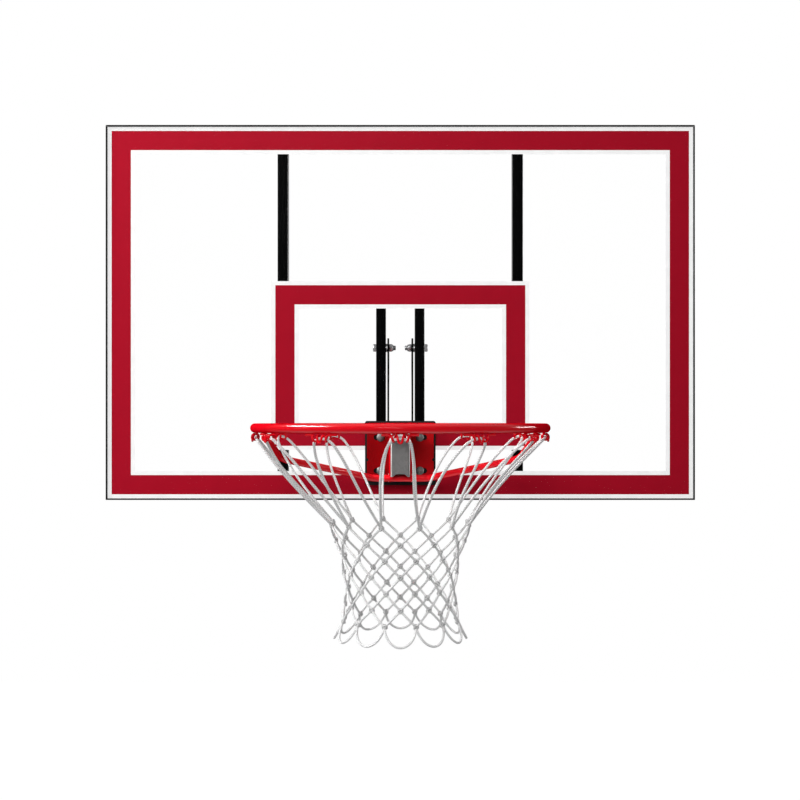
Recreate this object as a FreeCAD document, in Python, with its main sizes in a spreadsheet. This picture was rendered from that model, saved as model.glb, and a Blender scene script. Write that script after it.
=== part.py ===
import FreeCAD, Part
import math
import os
import re
import Sketcher

Vector = FreeCAD.Vector

# Driving sizes in millimetres. The pieces are drawn from the board's front face (y = 0, back is +y),
# the ring's level (z = 0) and the middle of the board (x = 0). Every piece is then placed from the
# upper arm bore.
SIZES = {
    # Clear panel and the lines printed on its back
    "board_width": 1117.6,
    "board_height": 711.2,
    "ring_above_edge": 138.5,
    "panel_thickness": 4.8,
    "panel_play": 0.3,
    "print_thickness": 0.3,
    "stripe_width": 36.6,
    "pinstripe_width": 7.6,
    "target_width": 490.0,
    "target_height": 320.4,
    "target_drop": 43.6,
    # Steel frame: mitred rails with a lip round the panel, and tubes behind it
    "lip_wall": 2.6,
    "rail_width": 44.0,
    "rail_depth": 28.0,
    "rail_wall": 2.0,
    "tape_thickness": 0.8,
    "tape_width": 19.0,
    "tube_wall": 1.6,
    "outer_upright_spread": 446.4,
    "outer_upright_width": 20.4,
    "outer_upright_depth": 25.4,
    "cross_rail_height": 36.0,
    "cross_rail_depth": 25.4,
    "inner_upright_spread": 73.6,
    "inner_upright_width": 18.6,
    "inner_upright_depth": 38.0,
    # Side plates that the lifting arms pin to
    "plate_gap": 42.6,
    "plate_thickness": 3.4,
    "plate_front_gap": 2.5,
    "plate_strip": 38.0,
    "plate_margin": 18.0,
    "plate_chamfer": 7.0,
    "plate_fillet": 11.0,
    "lug_radius": 15.0,
    "lug_flare": 24.0,
    "arm_bore_radius": 5.25,
    "arm_bore_setback": 74.0,
    "upper_bore_rise": 118.0,
    "lower_bore_drop": 26.0,
    "mount_bolt_rise": 151.0,
    "mount_bolt_drop": 52.0,
    # Bolts and nuts of one thread
    "bolt_diameter": 9.5,
    "bolt_clearance": 0.5,
    "hex_width": 14.3,
    "hex_head_height": 6.2,
    "nut_height": 8.2,
    "thread_tail": 4.4,
    "washer_radius": 10.5,
    "washer_thickness": 2.0,
    "spacer_radius": 8.0,
    "thread_gap": 0.05,
    # Gasket and base plate of the rim
    "gasket_width": 133.6,
    "gasket_height": 121.4,
    "gasket_rise": 11.4,
    "gasket_thickness": 5.0,
    "gasket_corner": 4.0,
    "base_width": 126.0,
    "base_height": 110.5,
    "base_rise": 8.0,
    "base_thickness": 4.0,
    "base_corner": 5.0,
    "base_notch_radius": 10.5,
    "side_notch_radius": 3.0,
    "side_notch_drop": 62.0,
    "rim_bolt_drop": 19.8,
    "rim_bolt_pitch": 63.0,
    "rim_slot_travel": 10.0,
    "rim_slot_shift": 3.5,
    "dome_radius": 8.1,
    "dome_rim": 1.8,
    "dome_height": 4.8,
    "dome_top_radius": 4.6,
    # Hinge of the breakaway rim
    "hinge_reach": 18.0,
    "hinge_drop": 96.0,
    "pin_radius": 4.0,
    "pin_head_radius": 6.5,
    "pin_head_height": 2.5,
    "pin_tail": 3.0,
    "running_gap": 0.06,
    "ear_radius": 7.0,
    "ear_thickness": 3.0,
    "ear_gap": 1.4,
    "hinge_washer_radius": 7.6,
    "hinge_washer_thickness": 1.0,
    "clip_radius": 7.0,
    "clip_thickness": 1.2,
    # Moving bracket, spring and its cover
    "rest_gap": 0.3,
    "bracket_wall": 3.0,
    "bracket_reach_top": 62.0,
    "bracket_reach_low": 50.0,
    "lobe_radius": 7.6,
    "web_above_hinge": 12.0,
    "spring_drop": 60.0,
    "spring_bolt_radius": 4.0,
    "spring_bolt_reach": 64.0,
    "spring_head_radius": 10.0,
    "spring_head_height": 3.4,
    "head_room": 1.0,
    "slot_rise": 4.5,
    "slot_fall": 1.8,
    "spring_nut_width": 13.0,
    "spring_nut_height": 6.5,
    "spring_washer_radius": 14.2,
    "spring_washer_thickness": 2.4,
    "spring_radius": 11.2,
    "spring_wire": 4.6,
    "spring_seat_gap": 0.3,
    "cover_width": 36.2,
    "cover_wall": 2.0,
    "cover_reach": 70.0,
    "cover_top": 12.0,
    "cover_bend": 3.2,
    "cover_nest": 0.15,
    "cover_lip": 2.0,
    "cover_lip_reach": 14.0,
    "cover_notch_width": 28.0,
    "cover_notch_height": 5.0,
    "cover_notch_slope": 6.0,
    "cover_screw_drop": 34.0,
    "cover_screw_reach": 40.0,
    "cover_screw_radius": 2.4,
    "cover_screw_head": 4.6,
    "cover_screw_head_height": 2.2,
    # Ring, neck and brace
    "ring_gap": 152.4,
    "ring_inner_diameter": 457.2,
    "ring_rod": 15.2,
    "weld_gap": 0.05,
    "neck_thickness": 5.0,
    "neck_front_width": 92.0,
    "neck_straight": 64.0,
    "brace_rod": 11.0,
    "brace_reach": 45.0,
    "brace_flat": 122.0,
    "brace_bend_x": 199.5,
    "brace_bend_reach": 180.0,
    "brace_bend_drop": 59.5,
    "brace_bend_radius": 60.0,
    "brace_flat_radius": 20.0,
    # Net hooks and net
    "hook_wire": 3.6,
    "hook_half_width": 13.5,
    "hook_depth": 5.0,
    "hook_drop": 13.0,
    "cord": 5.0,
    "mesh_cord": 3.8,
    "knot_length": 9.0,
    "knot_radius": 4.6,
    "cord_seat_gap": 0.3,
    "cord_straight": 13.0,
    "cord_bow": 5.0,
    "net_length": 344.0,
    # One length past a face, for every cut
    "overrun": 20.0,
}
HOOK_COUNT = 12
SPRING_TURNS = 4.5
TURN_ARCS = 4
CORD_SIDES = 6
LOOP_STEPS = 6
# Where the brace meets the ring, in degrees from the ring's front
BRACE_ANGLE = 106.0

X_AXIS = Vector(1, 0, 0)
Y_AXIS = Vector(0, 1, 0)
Z_AXIS = Vector(0, 0, 1)

# Corner radius of a hexagon by its width across flats, and how full a rounded end is
HEX_CORNER_SHARE = 1 / math.sqrt(3)
ROUND_END_SHARE = 0.97
# How nearly an edge runs along an axis to be chosen for rounding
STRAIGHT_SHARE = 0.9

# Half a hook from its foot to its middle: shares of its half width, depth (outwards) and drop
CRADLE_SHARE = 0.75
HOOK_SHARES = [
    (2.05, 0.0, 0.0),
    (1.02, 0.0, 0.0),
    (0.93, 0.85, 0.15),
    (0.84, 1.0, 0.55),
    (0.76, 0.6, CRADLE_SHARE),
    (0.69, -0.5, CRADLE_SHARE),
    (0.61, -1.0, 0.5),
    (0.52, -0.9, 0.12),
    (0.42, -0.2, 0.03),
    (0.34, 0.75, 0.1),
    (0.26, 1.0, 0.5),
    (0.16, 1.0, 0.9),
]
# Knot rows from the top: shares of the ring's radius and of the net's length
ROW_RADIUS_SHARES = [0.486, 0.444, 0.400, 0.389, 0.372, 0.381, 0.402]
ROW_DROP_SHARES = [0.452, 0.532, 0.608, 0.683, 0.759, 0.834, 0.907]
LOOP_RADIUS_SHARE = 0.456
# The legs of a top loop: stations down the leg, how fast they spread, and the sideways part of their bow
LEG_SHARES = [0.06, 0.15, 0.3, 0.6, 1.0]
LEG_SPREAD_POWER = 5
SIDE_BOW_SHARE = 0.5
# A knot along its axis: shares of its length and radius
KNOT_SHARES = [(0.0, 0.7), (0.5, 1.0), (1.0, 0.7)]

# Places that several pieces share, as sums of the sizes
FRAME_FRONT = "(panel_thickness + print_thickness + tape_thickness)"
BOARD_LOW = "(-ring_above_edge)"
BOARD_MID = "(board_height / 2 - ring_above_edge)"
CROSS_MID = "(target_height - target_drop - pinstripe_width - stripe_width / 2)"
BOLT_HOLE = "(bolt_diameter / 2 + bolt_clearance)"
UPRIGHT_FOOT = "(rail_width - ring_above_edge)"
UPRIGHT_INNER = "(inner_upright_spread / 2 - inner_upright_width / 2)"
UPRIGHT_OUTER = "(inner_upright_spread / 2 + inner_upright_width / 2)"
UPRIGHT_BACK = f"({FRAME_FRONT} + inner_upright_depth)"
MOUNT_BOLT_Y = f"({FRAME_FRONT} + inner_upright_depth / 2)"
PLATE_FRONT = f"({FRAME_FRONT} + plate_front_gap)"
BASE_FRONT = "(-gasket_thickness - base_thickness)"
WEB_BACK = "(-gasket_thickness - base_thickness - rest_gap)"
WEB_FRONT = f"({WEB_BACK} - bracket_wall)"
CHEEK_INNER = "(cover_width / 2 + cover_nest)"
CHEEK_OUTER = f"({CHEEK_INNER} + bracket_wall)"
EAR_INNER = f"({CHEEK_OUTER} + ear_gap)"
EAR_OUTER = f"({EAR_INNER} + ear_thickness)"
CHEEK_LOW = "(brace_rod / 2 + weld_gap - hinge_drop)"
RING_Y = "(-ring_gap - ring_inner_diameter / 2)"
RING_RADIUS = "(ring_inner_diameter / 2 + ring_rod / 2)"
SPRING_END = "(-spring_bolt_reach + thread_tail + spring_nut_height + spring_washer_thickness)"

doc = FreeCAD.newDocument("backboard")
sheet = doc.addObject("Spreadsheet::Sheet", "Sheet")
for row, (name, size) in enumerate(SIZES.items(), start=1):
    sheet.set(f"A{row}", name)
    sheet.set(f"B{row}", str(size))
    sheet.setAlias(f"B{row}", name)
doc.recompute()

nodes = []


def linked(formula):
    return re.sub(r"[a-z]\w+", lambda found: "Sheet." + found.group(), formula)


def bind(obj, prop, formula):
    obj.setExpression(prop, linked(formula))


def measure(formula):
    return float(sheet.evalExpression(linked(formula)))


def seat(obj, label, x="0", y="0", z="0"):
    """Name a finished piece and place it from the upper arm bore."""
    obj.Label = label
    bind(obj, "Placement.Base.x", x)
    bind(obj, "Placement.Base.y", f"{y} - arm_bore_setback")
    bind(obj, "Placement.Base.z", f"{z} - upper_bore_rise")
    nodes.append(obj)
    return obj


def new_body(label, z="0"):
    body = doc.addObject("PartDesign::Body", label)
    body.AllowCompound = True
    return seat(body, label, z=z)


def new_sketch(body, plane, offset="0"):
    sketch = body.newObject("Sketcher::SketchObject", f"{body.Name}_sketch")
    support = next(f for f in body.Origin.OriginFeatures if f.Role == plane)
    sketch.AttachmentSupport = (support, "")
    sketch.MapMode = "FlatFace"
    bind(sketch, "AttachmentOffset.Base.z", offset)
    return sketch


def pin_point(sketch, shape, end, u, v):
    """Hold one point of a sketch at a place given by two formulas."""
    for kind, formula in (("DistanceX", u), ("DistanceY", v)):
        rule = Sketcher.Constraint(kind, -1, 1, shape, end, measure(formula))
        bind(sketch, f"Constraints[{sketch.addConstraint(rule)}]", formula)


def add_loop(sketch, points):
    """A closed outline of straight sides through points given by formulas."""
    places = [Vector(measure(u), measure(v), 0) for u, v in points]
    first = sketch.GeometryCount
    count = len(points)
    for i in range(count):
        sketch.addGeometry(Part.LineSegment(places[i], places[(i + 1) % count]))
    for i in range(count):
        sketch.addConstraint(
            Sketcher.Constraint("Coincident", first + i, 2, first + (i + 1) % count, 1)
        )
    for i, (u, v) in enumerate(points):
        pin_point(sketch, first + i, 1, u, v)


def add_circle(sketch, u, v, radius):
    centre = Vector(measure(u), measure(v), 0)
    shape = sketch.addGeometry(Part.Circle(centre, Z_AXIS, measure(radius)))
    pin_point(sketch, shape, 3, u, v)
    rule = Sketcher.Constraint("Radius", shape, measure(radius))
    bind(sketch, f"Constraints[{sketch.addConstraint(rule)}]", radius)


def add_slot(sketch, start, end, radius):
    """A round-ended slot between two centres, upright or level."""
    a = Vector(measure(start[0]), measure(start[1]), 0)
    b = Vector(measure(end[0]), measure(end[1]), 0)
    size = measure(radius)
    along = math.atan2(b.y - a.y, b.x - a.x)
    side = Vector(-math.sin(along), math.cos(along), 0) * size
    arcs = []
    for centre, turn in ((a, math.pi / 2), (b, -math.pi / 2)):
        circle = Part.Circle(centre, Z_AXIS, size)
        arc = Part.ArcOfCircle(circle, along + turn, along + turn + math.pi)
        arcs.append(sketch.addGeometry(arc))
    low = sketch.addGeometry(Part.LineSegment(a - side, b - side))
    high = sketch.addGeometry(Part.LineSegment(b + side, a + side))
    for one, one_end, other, other_end in (
        (arcs[0], 2, low, 1),
        (low, 2, arcs[1], 1),
        (arcs[1], 2, high, 1),
        (high, 2, arcs[0], 1),
    ):
        sketch.addConstraint(Sketcher.Constraint("Tangent", one, one_end, other, other_end))
    sketch.addConstraint(Sketcher.Constraint("Equal", arcs[0], arcs[1]))
    pin_point(sketch, arcs[0], 3, *start)
    pin_point(sketch, arcs[1], 3, *end)
    rule = Sketcher.Constraint("Radius", arcs[0], size)
    bind(sketch, f"Constraints[{sketch.addConstraint(rule)}]", radius)


def pad(body, sketch, length, both_ways=False, backwards=False):
    feature = body.newObject("PartDesign::Pad", f"{body.Name}_pad")
    feature.Profile = sketch
    bind(feature, "Length", length)
    feature.SideType = "Symmetric" if both_ways else "One side"
    feature.Reversed = backwards
    doc.recompute()
    return feature


def pocket(body, sketch, width=None):
    """Cut a sketch's area both ways, right through or to a stated width, and check that it cut."""
    before = body.Shape.Volume
    feature = body.newObject("PartDesign::Pocket", f"{body.Name}_pocket")
    feature.Profile = sketch
    feature.SideType = "Symmetric"
    if width is None:
        feature.Type = "ThroughAll"
    else:
        bind(feature, "Length", width)
    doc.recompute()
    if not body.Shape.Volume < before:
        raise RuntimeError(f"{body.Label}: a cut missed the solid")
    return feature


def fillet(body, radius, axis, chosen):
    """Round the straight edges along one axis whose middle passes a test."""
    base = body.Tip
    names = []
    for i, edge in enumerate(base.Shape.Edges, start=1):
        if edge.Curve.TypeId == "Part::GeomLine":
            middle = (edge.Vertexes[0].Point + edge.Vertexes[-1].Point) / 2
            if abs(edge.Curve.Direction.dot(axis)) > STRAIGHT_SHARE and chosen(middle):
                names.append(f"Edge{i}")
    feature = body.newObject("PartDesign::Fillet", f"{body.Name}_fillet")
    feature.Base = (base, names)
    bind(feature, "Radius", radius)
    doc.recompute()
    return feature


def box_points(left, right, low, high):
    return [(left, low), (right, low), (right, high), (left, high)]


def inset_points(width, height, low, inset):
    """A rectangle centred on x = 0, drawn in from an outer rectangle by one inset."""
    half = f"({width} / 2 - ({inset}))"
    return box_points(f"-{half}", half, f"{low} + ({inset})", f"{low} + {height} - ({inset})")


def rim_bolt_places(rows):
    drops = {"upper": "-rim_bolt_drop", "lower": "-rim_bolt_drop - rim_bolt_pitch"}
    return [
        (f"{side} * inner_upright_spread / 2", drops[row]) for row in rows for side in (-1, 1)
    ]


def plate(label, loops, start, thickness, circles=()):
    """A flat piece facing the player: outlines at one depth, made thicker towards the back."""
    body = new_body(label)
    sketch = new_sketch(body, "XZ_Plane", f"-({start})")
    for points in loops:
        add_loop(sketch, points)
    for u, v, radius in circles:
        add_circle(sketch, u, v, radius)
    pad(body, sketch, thickness, backwards=True)
    return body


def make_panel():
    edge = "lip_wall + panel_play"
    outline = inset_points("board_width", "board_height", BOARD_LOW, edge)
    holes = [(u, v, BOLT_HOLE) for u, v in rim_bolt_places(("upper", "lower"))]
    plate("clear_panel", [outline], "0", "panel_thickness", holes)


def make_print(label, width, height, low, insets, rows=()):
    """Lines printed on the panel's back: nested rectangles, with the rim bolts' holes."""
    loops = [inset_points(width, height, low, inset) for inset in insets]
    body = plate(label, loops, "panel_thickness", "print_thickness")
    if rows:
        sketch = new_sketch(body, "XZ_Plane")
        for u, v in rim_bolt_places(rows):
            add_circle(sketch, u, v, BOLT_HOLE)
        pocket(body, sketch)


def make_prints():
    first = "lip_wall + panel_play"
    border = [
        first,
        f"{first} + pinstripe_width",
        f"{first} + pinstripe_width + stripe_width",
        f"{first} + 2 * pinstripe_width + stripe_width",
    ]
    target = [
        "0",
        "pinstripe_width",
        "pinstripe_width + stripe_width",
        "2 * pinstripe_width + stripe_width",
    ]
    board = ("board_width", "board_height", BOARD_LOW)
    square = ("target_width", "target_height", "(-target_drop)")
    make_print("border_band", *board, border[1:3])
    make_print("border_pinstripes", *board, border, ("lower",))
    make_print("target_band", *square, target[1:3], ("upper",))
    make_print("target_pinstripes", *square, target)
    margin = "lip_wall + (rail_width - lip_wall - tape_width) / 2"
    tape = [inset_points(*board, inset) for inset in (margin, f"{margin} + tape_width")]
    plate("panel_tape", tape, "panel_thickness + print_thickness", "tape_thickness")


def make_rail(label, length, reach, turn):
    """A rolled channel, open at the back, whose outer wall runs on as the lip; mitred at both ends."""
    body = new_body(label, z=BOARD_MID)
    body.Placement.Rotation = FreeCAD.Rotation(Y_AXIS, turn)
    outer = f"-{reach} / 2"
    lip = f"{outer} + lip_wall"
    inner = f"{outer} + rail_width"
    profile = new_sketch(body, "YZ_Plane")
    add_loop(
        profile,
        [
            ("0", outer),
            ("rail_depth", outer),
            ("rail_depth", lip),
            (f"{FRAME_FRONT} + rail_wall", lip),
            (f"{FRAME_FRONT} + rail_wall", f"{inner} - rail_wall"),
            ("rail_depth", f"{inner} - rail_wall"),
            ("rail_depth", inner),
            (FRAME_FRONT, inner),
            (FRAME_FRONT, lip),
            ("0", lip),
        ],
    )
    pad(body, profile, length, both_ways=True)
    mitre = new_sketch(body, "XZ_Plane")
    for side in (-1, 1):
        past = f"{inner} + overrun"
        add_loop(
            mitre,
            [
                (f"{side} * {length} / 2", outer),
                (f"{side} * {length} / 2", past),
                (f"{side} * ({length} / 2 - rail_width - overrun)", past),
            ],
        )
    pocket(body, mitre)


def make_tube(label, plane, start, length, outline, wall, both_ways=False):
    """A square steel tube: an outline and the same outline drawn in by the wall."""
    left, right, low, high = outline
    body = new_body(label)
    sketch = new_sketch(body, plane, start)
    add_loop(sketch, box_points(left, right, low, high))
    inner = (f"{left} + {wall}", f"{right} - {wall}", f"{low} + {wall}", f"{high} - {wall}")
    add_loop(sketch, box_points(*inner))
    pad(body, sketch, length, both_ways=both_ways)
    return body


def make_frame():
    make_rail("bottom_rail", "board_width", "board_height", 0)
    make_rail("left_rail", "board_height", "board_width", 90)
    make_rail("top_rail", "board_width", "board_height", 180)
    make_rail("right_rail", "board_height", "board_width", 270)
    make_tube(
        "cross_rail",
        "YZ_Plane",
        "0",
        "outer_upright_spread - outer_upright_width",
        (
            FRAME_FRONT,
            f"{FRAME_FRONT} + cross_rail_depth",
            f"{CROSS_MID} - cross_rail_height / 2",
            f"{CROSS_MID} + cross_rail_height / 2",
        ),
        "tube_wall",
        both_ways=True,
    )
    for name, side in (("left", -1), ("right", 1)):
        middle = f"{side} * outer_upright_spread / 2"
        make_tube(
            f"{name}_outer_upright",
            "XY_Plane",
            UPRIGHT_FOOT,
            "board_height - 2 * rail_width",
            (
                f"{middle} - outer_upright_width / 2",
                f"{middle} + outer_upright_width / 2",
                FRAME_FRONT,
                f"{FRAME_FRONT} + outer_upright_depth",
            ),
            "tube_wall",
        )
        middle = f"{side} * inner_upright_spread / 2"
        body = make_tube(
            f"{name}_inner_upright",
            "XY_Plane",
            UPRIGHT_FOOT,
            f"{CROSS_MID} - cross_rail_height / 2 - {UPRIGHT_FOOT}",
            (
                f"{middle} - inner_upright_width / 2",
                f"{middle} + inner_upright_width / 2",
                FRAME_FRONT,
                UPRIGHT_BACK,
            ),
            "tube_wall",
        )
        rim_holes = new_sketch(body, "XZ_Plane")
        for u, v in rim_bolt_places(("upper", "lower")):
            add_circle(rim_holes, u, v, BOLT_HOLE)
        pocket(body, rim_holes)
        mount_holes = new_sketch(body, "YZ_Plane")
        for v in ("mount_bolt_rise", "-mount_bolt_drop"):
            add_circle(mount_holes, MOUNT_BOLT_Y, v, BOLT_HOLE)
        pocket(body, mount_holes)


def make_mount_plates():
    """Upright side plates with two rounded lugs behind for the arm bolts."""
    top = "(mount_bolt_rise + plate_margin)"
    low = "(-mount_bolt_drop - plate_margin)"
    strip = f"({PLATE_FRONT} + plate_strip)"
    back = "(arm_bore_setback + lug_radius)"
    outline = [
        (PLATE_FRONT, low),
        (PLATE_FRONT, f"{top} - plate_chamfer"),
        (f"{PLATE_FRONT} + plate_chamfer", top),
        (strip, top),
        (back, "upper_bore_rise + lug_radius"),
        (back, "upper_bore_rise - lug_radius"),
        (strip, "upper_bore_rise - lug_radius - lug_flare"),
        (strip, "-lower_bore_drop + lug_radius + lug_flare"),
        (back, "-lower_bore_drop + lug_radius"),
        (back, "-lower_bore_drop - lug_radius"),
        (strip, low),
    ]
    for name, start in (
        ("left", "-plate_gap / 2 - plate_thickness"),
        ("right", "plate_gap / 2"),
    ):
        body = new_body(f"{name}_mount_plate")
        sketch = new_sketch(body, "YZ_Plane", start)
        add_loop(sketch, outline)
        pad(body, sketch, "plate_thickness")
        behind = measure(strip) - measure("overrun") / 2
        fillet(body, "plate_fillet", X_AXIS, lambda at: at.y > behind)
        holes = new_sketch(body, "YZ_Plane")
        for v in ("mount_bolt_rise", "-mount_bolt_drop"):
            add_circle(holes, MOUNT_BOLT_Y, v, BOLT_HOLE)
        for v in ("upper_bore_rise", "-lower_bore_drop"):
            add_circle(holes, "arm_bore_setback", v, "arm_bore_radius")
        pocket(body, holes)


def cylinder(name, radius, height, start="0"):
    made = doc.addObject("Part::Cylinder", name)
    bind(made, "Radius", radius)
    bind(made, "Height", height)
    bind(made, "Placement.Base.z", start)
    return made


def hexagon(name, width, height, start="0"):
    made = doc.addObject("Part::Prism", name)
    made.Polygon = 6
    bind(made, "Circumradius", f"{HEX_CORNER_SHARE} * {width}")
    bind(made, "Height", height)
    bind(made, "Placement.Base.z", start)
    return made


def joined(name, base, *tools):
    for i, tool in enumerate(tools):
        made = doc.addObject("Part::Fuse", f"{name}_{i}")
        made.Base = base
        made.Tool = tool
        base = made
    return base


def without(name, base, tool):
    made = doc.addObject("Part::Cut", name)
    made.Base = base
    made.Tool = tool
    return made


AIM = {
    "right": FreeCAD.Rotation(Y_AXIS, 90),
    "left": FreeCAD.Rotation(Y_AXIS, -90),
    "back": FreeCAD.Rotation(X_AXIS, -90),
    "front": FreeCAD.Rotation(X_AXIS, 90),
}


def group(label, pattern, places):
    """Copies of one drawn piece, each aimed and placed by formulas, kept as separate solids of one node."""
    copies = []
    for i, (aim, x, y, z) in enumerate(places):
        copy = doc.addObject("App::Link", f"{label}_{i}")
        copy.LinkedObject = pattern
        copy.LinkTransform = False
        copy.Placement.Rotation = AIM[aim]
        bind(copy, "Placement.Base.x", x)
        bind(copy, "Placement.Base.y", y)
        bind(copy, "Placement.Base.z", z)
        copies.append(copy)
    made = doc.addObject("Part::Compound", label)
    made.Links = copies
    return seat(made, label)


def both_sides(x, y, drops):
    """Places on both sides of the middle, aimed inwards."""
    return [
        (aim, f"{side} * ({x})", y, z)
        for z in drops
        for side, aim in ((-1, "right"), (1, "left"))
    ]


def make_mount_hardware():
    rows = ("mount_bolt_rise", "-mount_bolt_drop")
    gap = f"({UPRIGHT_INNER} - plate_gap / 2 - plate_thickness)"
    grip = f"(inner_upright_width + {gap} + plate_thickness)"
    bolt = joined(
        "mount_bolt",
        hexagon("mount_bolt_head", "hex_width", "hex_head_height", "-hex_head_height"),
        cylinder("mount_bolt_shank", "bolt_diameter / 2", f"{grip} + nut_height + thread_tail"),
    )
    group("mount_bolts", bolt, both_sides(UPRIGHT_OUTER, MOUNT_BOLT_Y, rows))
    spacer = without(
        "mount_spacer",
        cylinder("mount_spacer_outer", "spacer_radius", gap),
        cylinder("mount_spacer_bore", BOLT_HOLE, gap),
    )
    group("mount_spacers", spacer, both_sides(UPRIGHT_INNER, MOUNT_BOLT_Y, rows))
    nut = without(
        "lock_nut",
        hexagon("lock_nut_body", "hex_width", "nut_height"),
        cylinder("lock_nut_bore", "bolt_diameter / 2 + thread_gap", "nut_height"),
    )
    group("mount_lock_nuts", nut, both_sides("plate_gap / 2", MOUNT_BOLT_Y, rows))
    return nut


def make_rim_hardware(nut):
    places = rim_bolt_places(("upper", "lower"))
    grip = f"({UPRIGHT_BACK} - {BASE_FRONT} + washer_thickness)"
    cap = doc.addObject("Part::Cone", "rim_bolt_dome")
    bind(cap, "Radius1", "dome_top_radius")
    bind(cap, "Radius2", "dome_radius")
    bind(cap, "Height", "dome_height - dome_rim")
    bind(cap, "Placement.Base.z", "-dome_height")
    bolt = joined(
        "rim_bolt",
        cylinder("rim_bolt_rim", "dome_radius", "dome_rim", "-dome_rim"),
        cap,
        cylinder("rim_bolt_shank", "bolt_diameter / 2", f"{grip} + nut_height + thread_tail"),
    )
    group("rim_bolts", bolt, [("back", u, BASE_FRONT, v) for u, v in places])
    washer = without(
        "rim_washer",
        cylinder("rim_washer_disc", "washer_radius", "washer_thickness"),
        cylinder("rim_washer_bore", BOLT_HOLE, "washer_thickness"),
    )
    group("rim_washers", washer, [("back", u, UPRIGHT_BACK, v) for u, v in places])
    seat_y = f"{UPRIGHT_BACK} + washer_thickness"
    group("rim_lock_nuts", nut, [("back", u, seat_y, v) for u, v in places])


def make_gasket():
    low = "(gasket_rise - gasket_height)"
    outline = box_points("-gasket_width / 2", "gasket_width / 2", low, "gasket_rise")
    holes = [(u, v, BOLT_HOLE) for u, v in rim_bolt_places(("upper", "lower"))]
    holes.append(("0", "-spring_drop", "spring_head_radius + head_room"))
    body = plate("rim_gasket", [outline], "-gasket_thickness", "gasket_thickness", holes)
    edge = measure("gasket_width / 2 - gasket_corner")
    fillet(body, "gasket_corner", Y_AXIS, lambda at: abs(at.x) > edge)


def make_base_plate():
    """The fixed plate: slots for the bolts, notches below and at the sides, and two hinge ears bent forward."""
    low = "(base_rise - base_height)"
    body = new_body("rim_base_plate")
    face = new_sketch(body, "XZ_Plane", f"-{BASE_FRONT}")
    add_loop(face, box_points("-base_width / 2", "base_width / 2", low, "base_rise"))
    add_circle(face, "0", "-spring_drop", "spring_bolt_radius + bolt_clearance")
    for u, v in rim_bolt_places(("upper", "lower")):
        outwards = math.copysign(1, measure(u))
        middle = f"({u} + {outwards} * rim_slot_shift)"
        half = "rim_slot_travel / 2"
        add_slot(face, (f"{middle} - {half}", v), (f"{middle} + {half}", v), BOLT_HOLE)
    pad(body, face, "base_thickness", backwards=True)
    edge = measure("base_width / 2 - base_corner")
    fillet(body, "base_corner", Y_AXIS, lambda at: abs(at.x) > edge)
    for start in (EAR_INNER, f"(-{EAR_OUTER})"):
        ear = new_sketch(body, "YZ_Plane", start)
        tip = "-hinge_reach - ear_radius"
        heights = ("-hinge_drop - ear_radius", "-hinge_drop + ear_radius")
        add_loop(ear, box_points(tip, f"{BASE_FRONT} + base_thickness / 2", *heights))
        pad(body, ear, "ear_thickness")
    ahead = measure("-hinge_reach")
    fillet(body, f"{ROUND_END_SHARE} * ear_radius", X_AXIS, lambda at: at.y < ahead)
    bore = new_sketch(body, "YZ_Plane")
    add_circle(bore, "-hinge_reach", "-hinge_drop", "pin_radius + running_gap")
    pocket(body, bore)
    notches = new_sketch(body, "XZ_Plane")
    add_circle(notches, "0", low, "base_notch_radius")
    for side in (-1, 1):
        add_circle(notches, f"{side} * base_width / 2", "-side_notch_drop", "side_notch_radius")
    pocket(body, notches)


def make_hinge_hardware():
    outside = f"({EAR_OUTER} + ear_gap / 2)"
    length = f"2 * {outside} + clip_thickness + pin_tail"
    pin = joined(
        "pin",
        cylinder("pin_head", "pin_head_radius", "pin_head_height", "-pin_head_height"),
        cylinder("pin_shank", "pin_radius", length),
    )
    spot = ("-hinge_reach", "-hinge_drop")
    group("hinge_pin", pin, [("right", f"-{outside}", *spot)])
    clip = without(
        "clip",
        cylinder("clip_disc", "clip_radius", "clip_thickness"),
        cylinder("clip_bore", "pin_radius + thread_gap", "clip_thickness"),
    )
    mouth = doc.addObject("Part::Box", "clip_mouth")
    bind(mouth, "Length", "clip_radius + overrun")
    bind(mouth, "Width", "pin_radius")
    bind(mouth, "Height", "clip_thickness")
    bind(mouth, "Placement.Base.y", "-pin_radius / 2")
    group("hinge_clip", without("open_clip", clip, mouth), [("right", outside, *spot)])
    washer = without(
        "hinge_washer",
        cylinder("hinge_washer_disc", "hinge_washer_radius", "hinge_washer_thickness"),
        cylinder("hinge_washer_bore", "pin_radius + running_gap", "hinge_washer_thickness"),
    )
    start = f"{EAR_INNER} - (ear_gap - hinge_washer_thickness) / 2"
    group("hinge_washers", washer, both_sides(start, "-hinge_reach", ("-hinge_drop",)))


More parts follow.
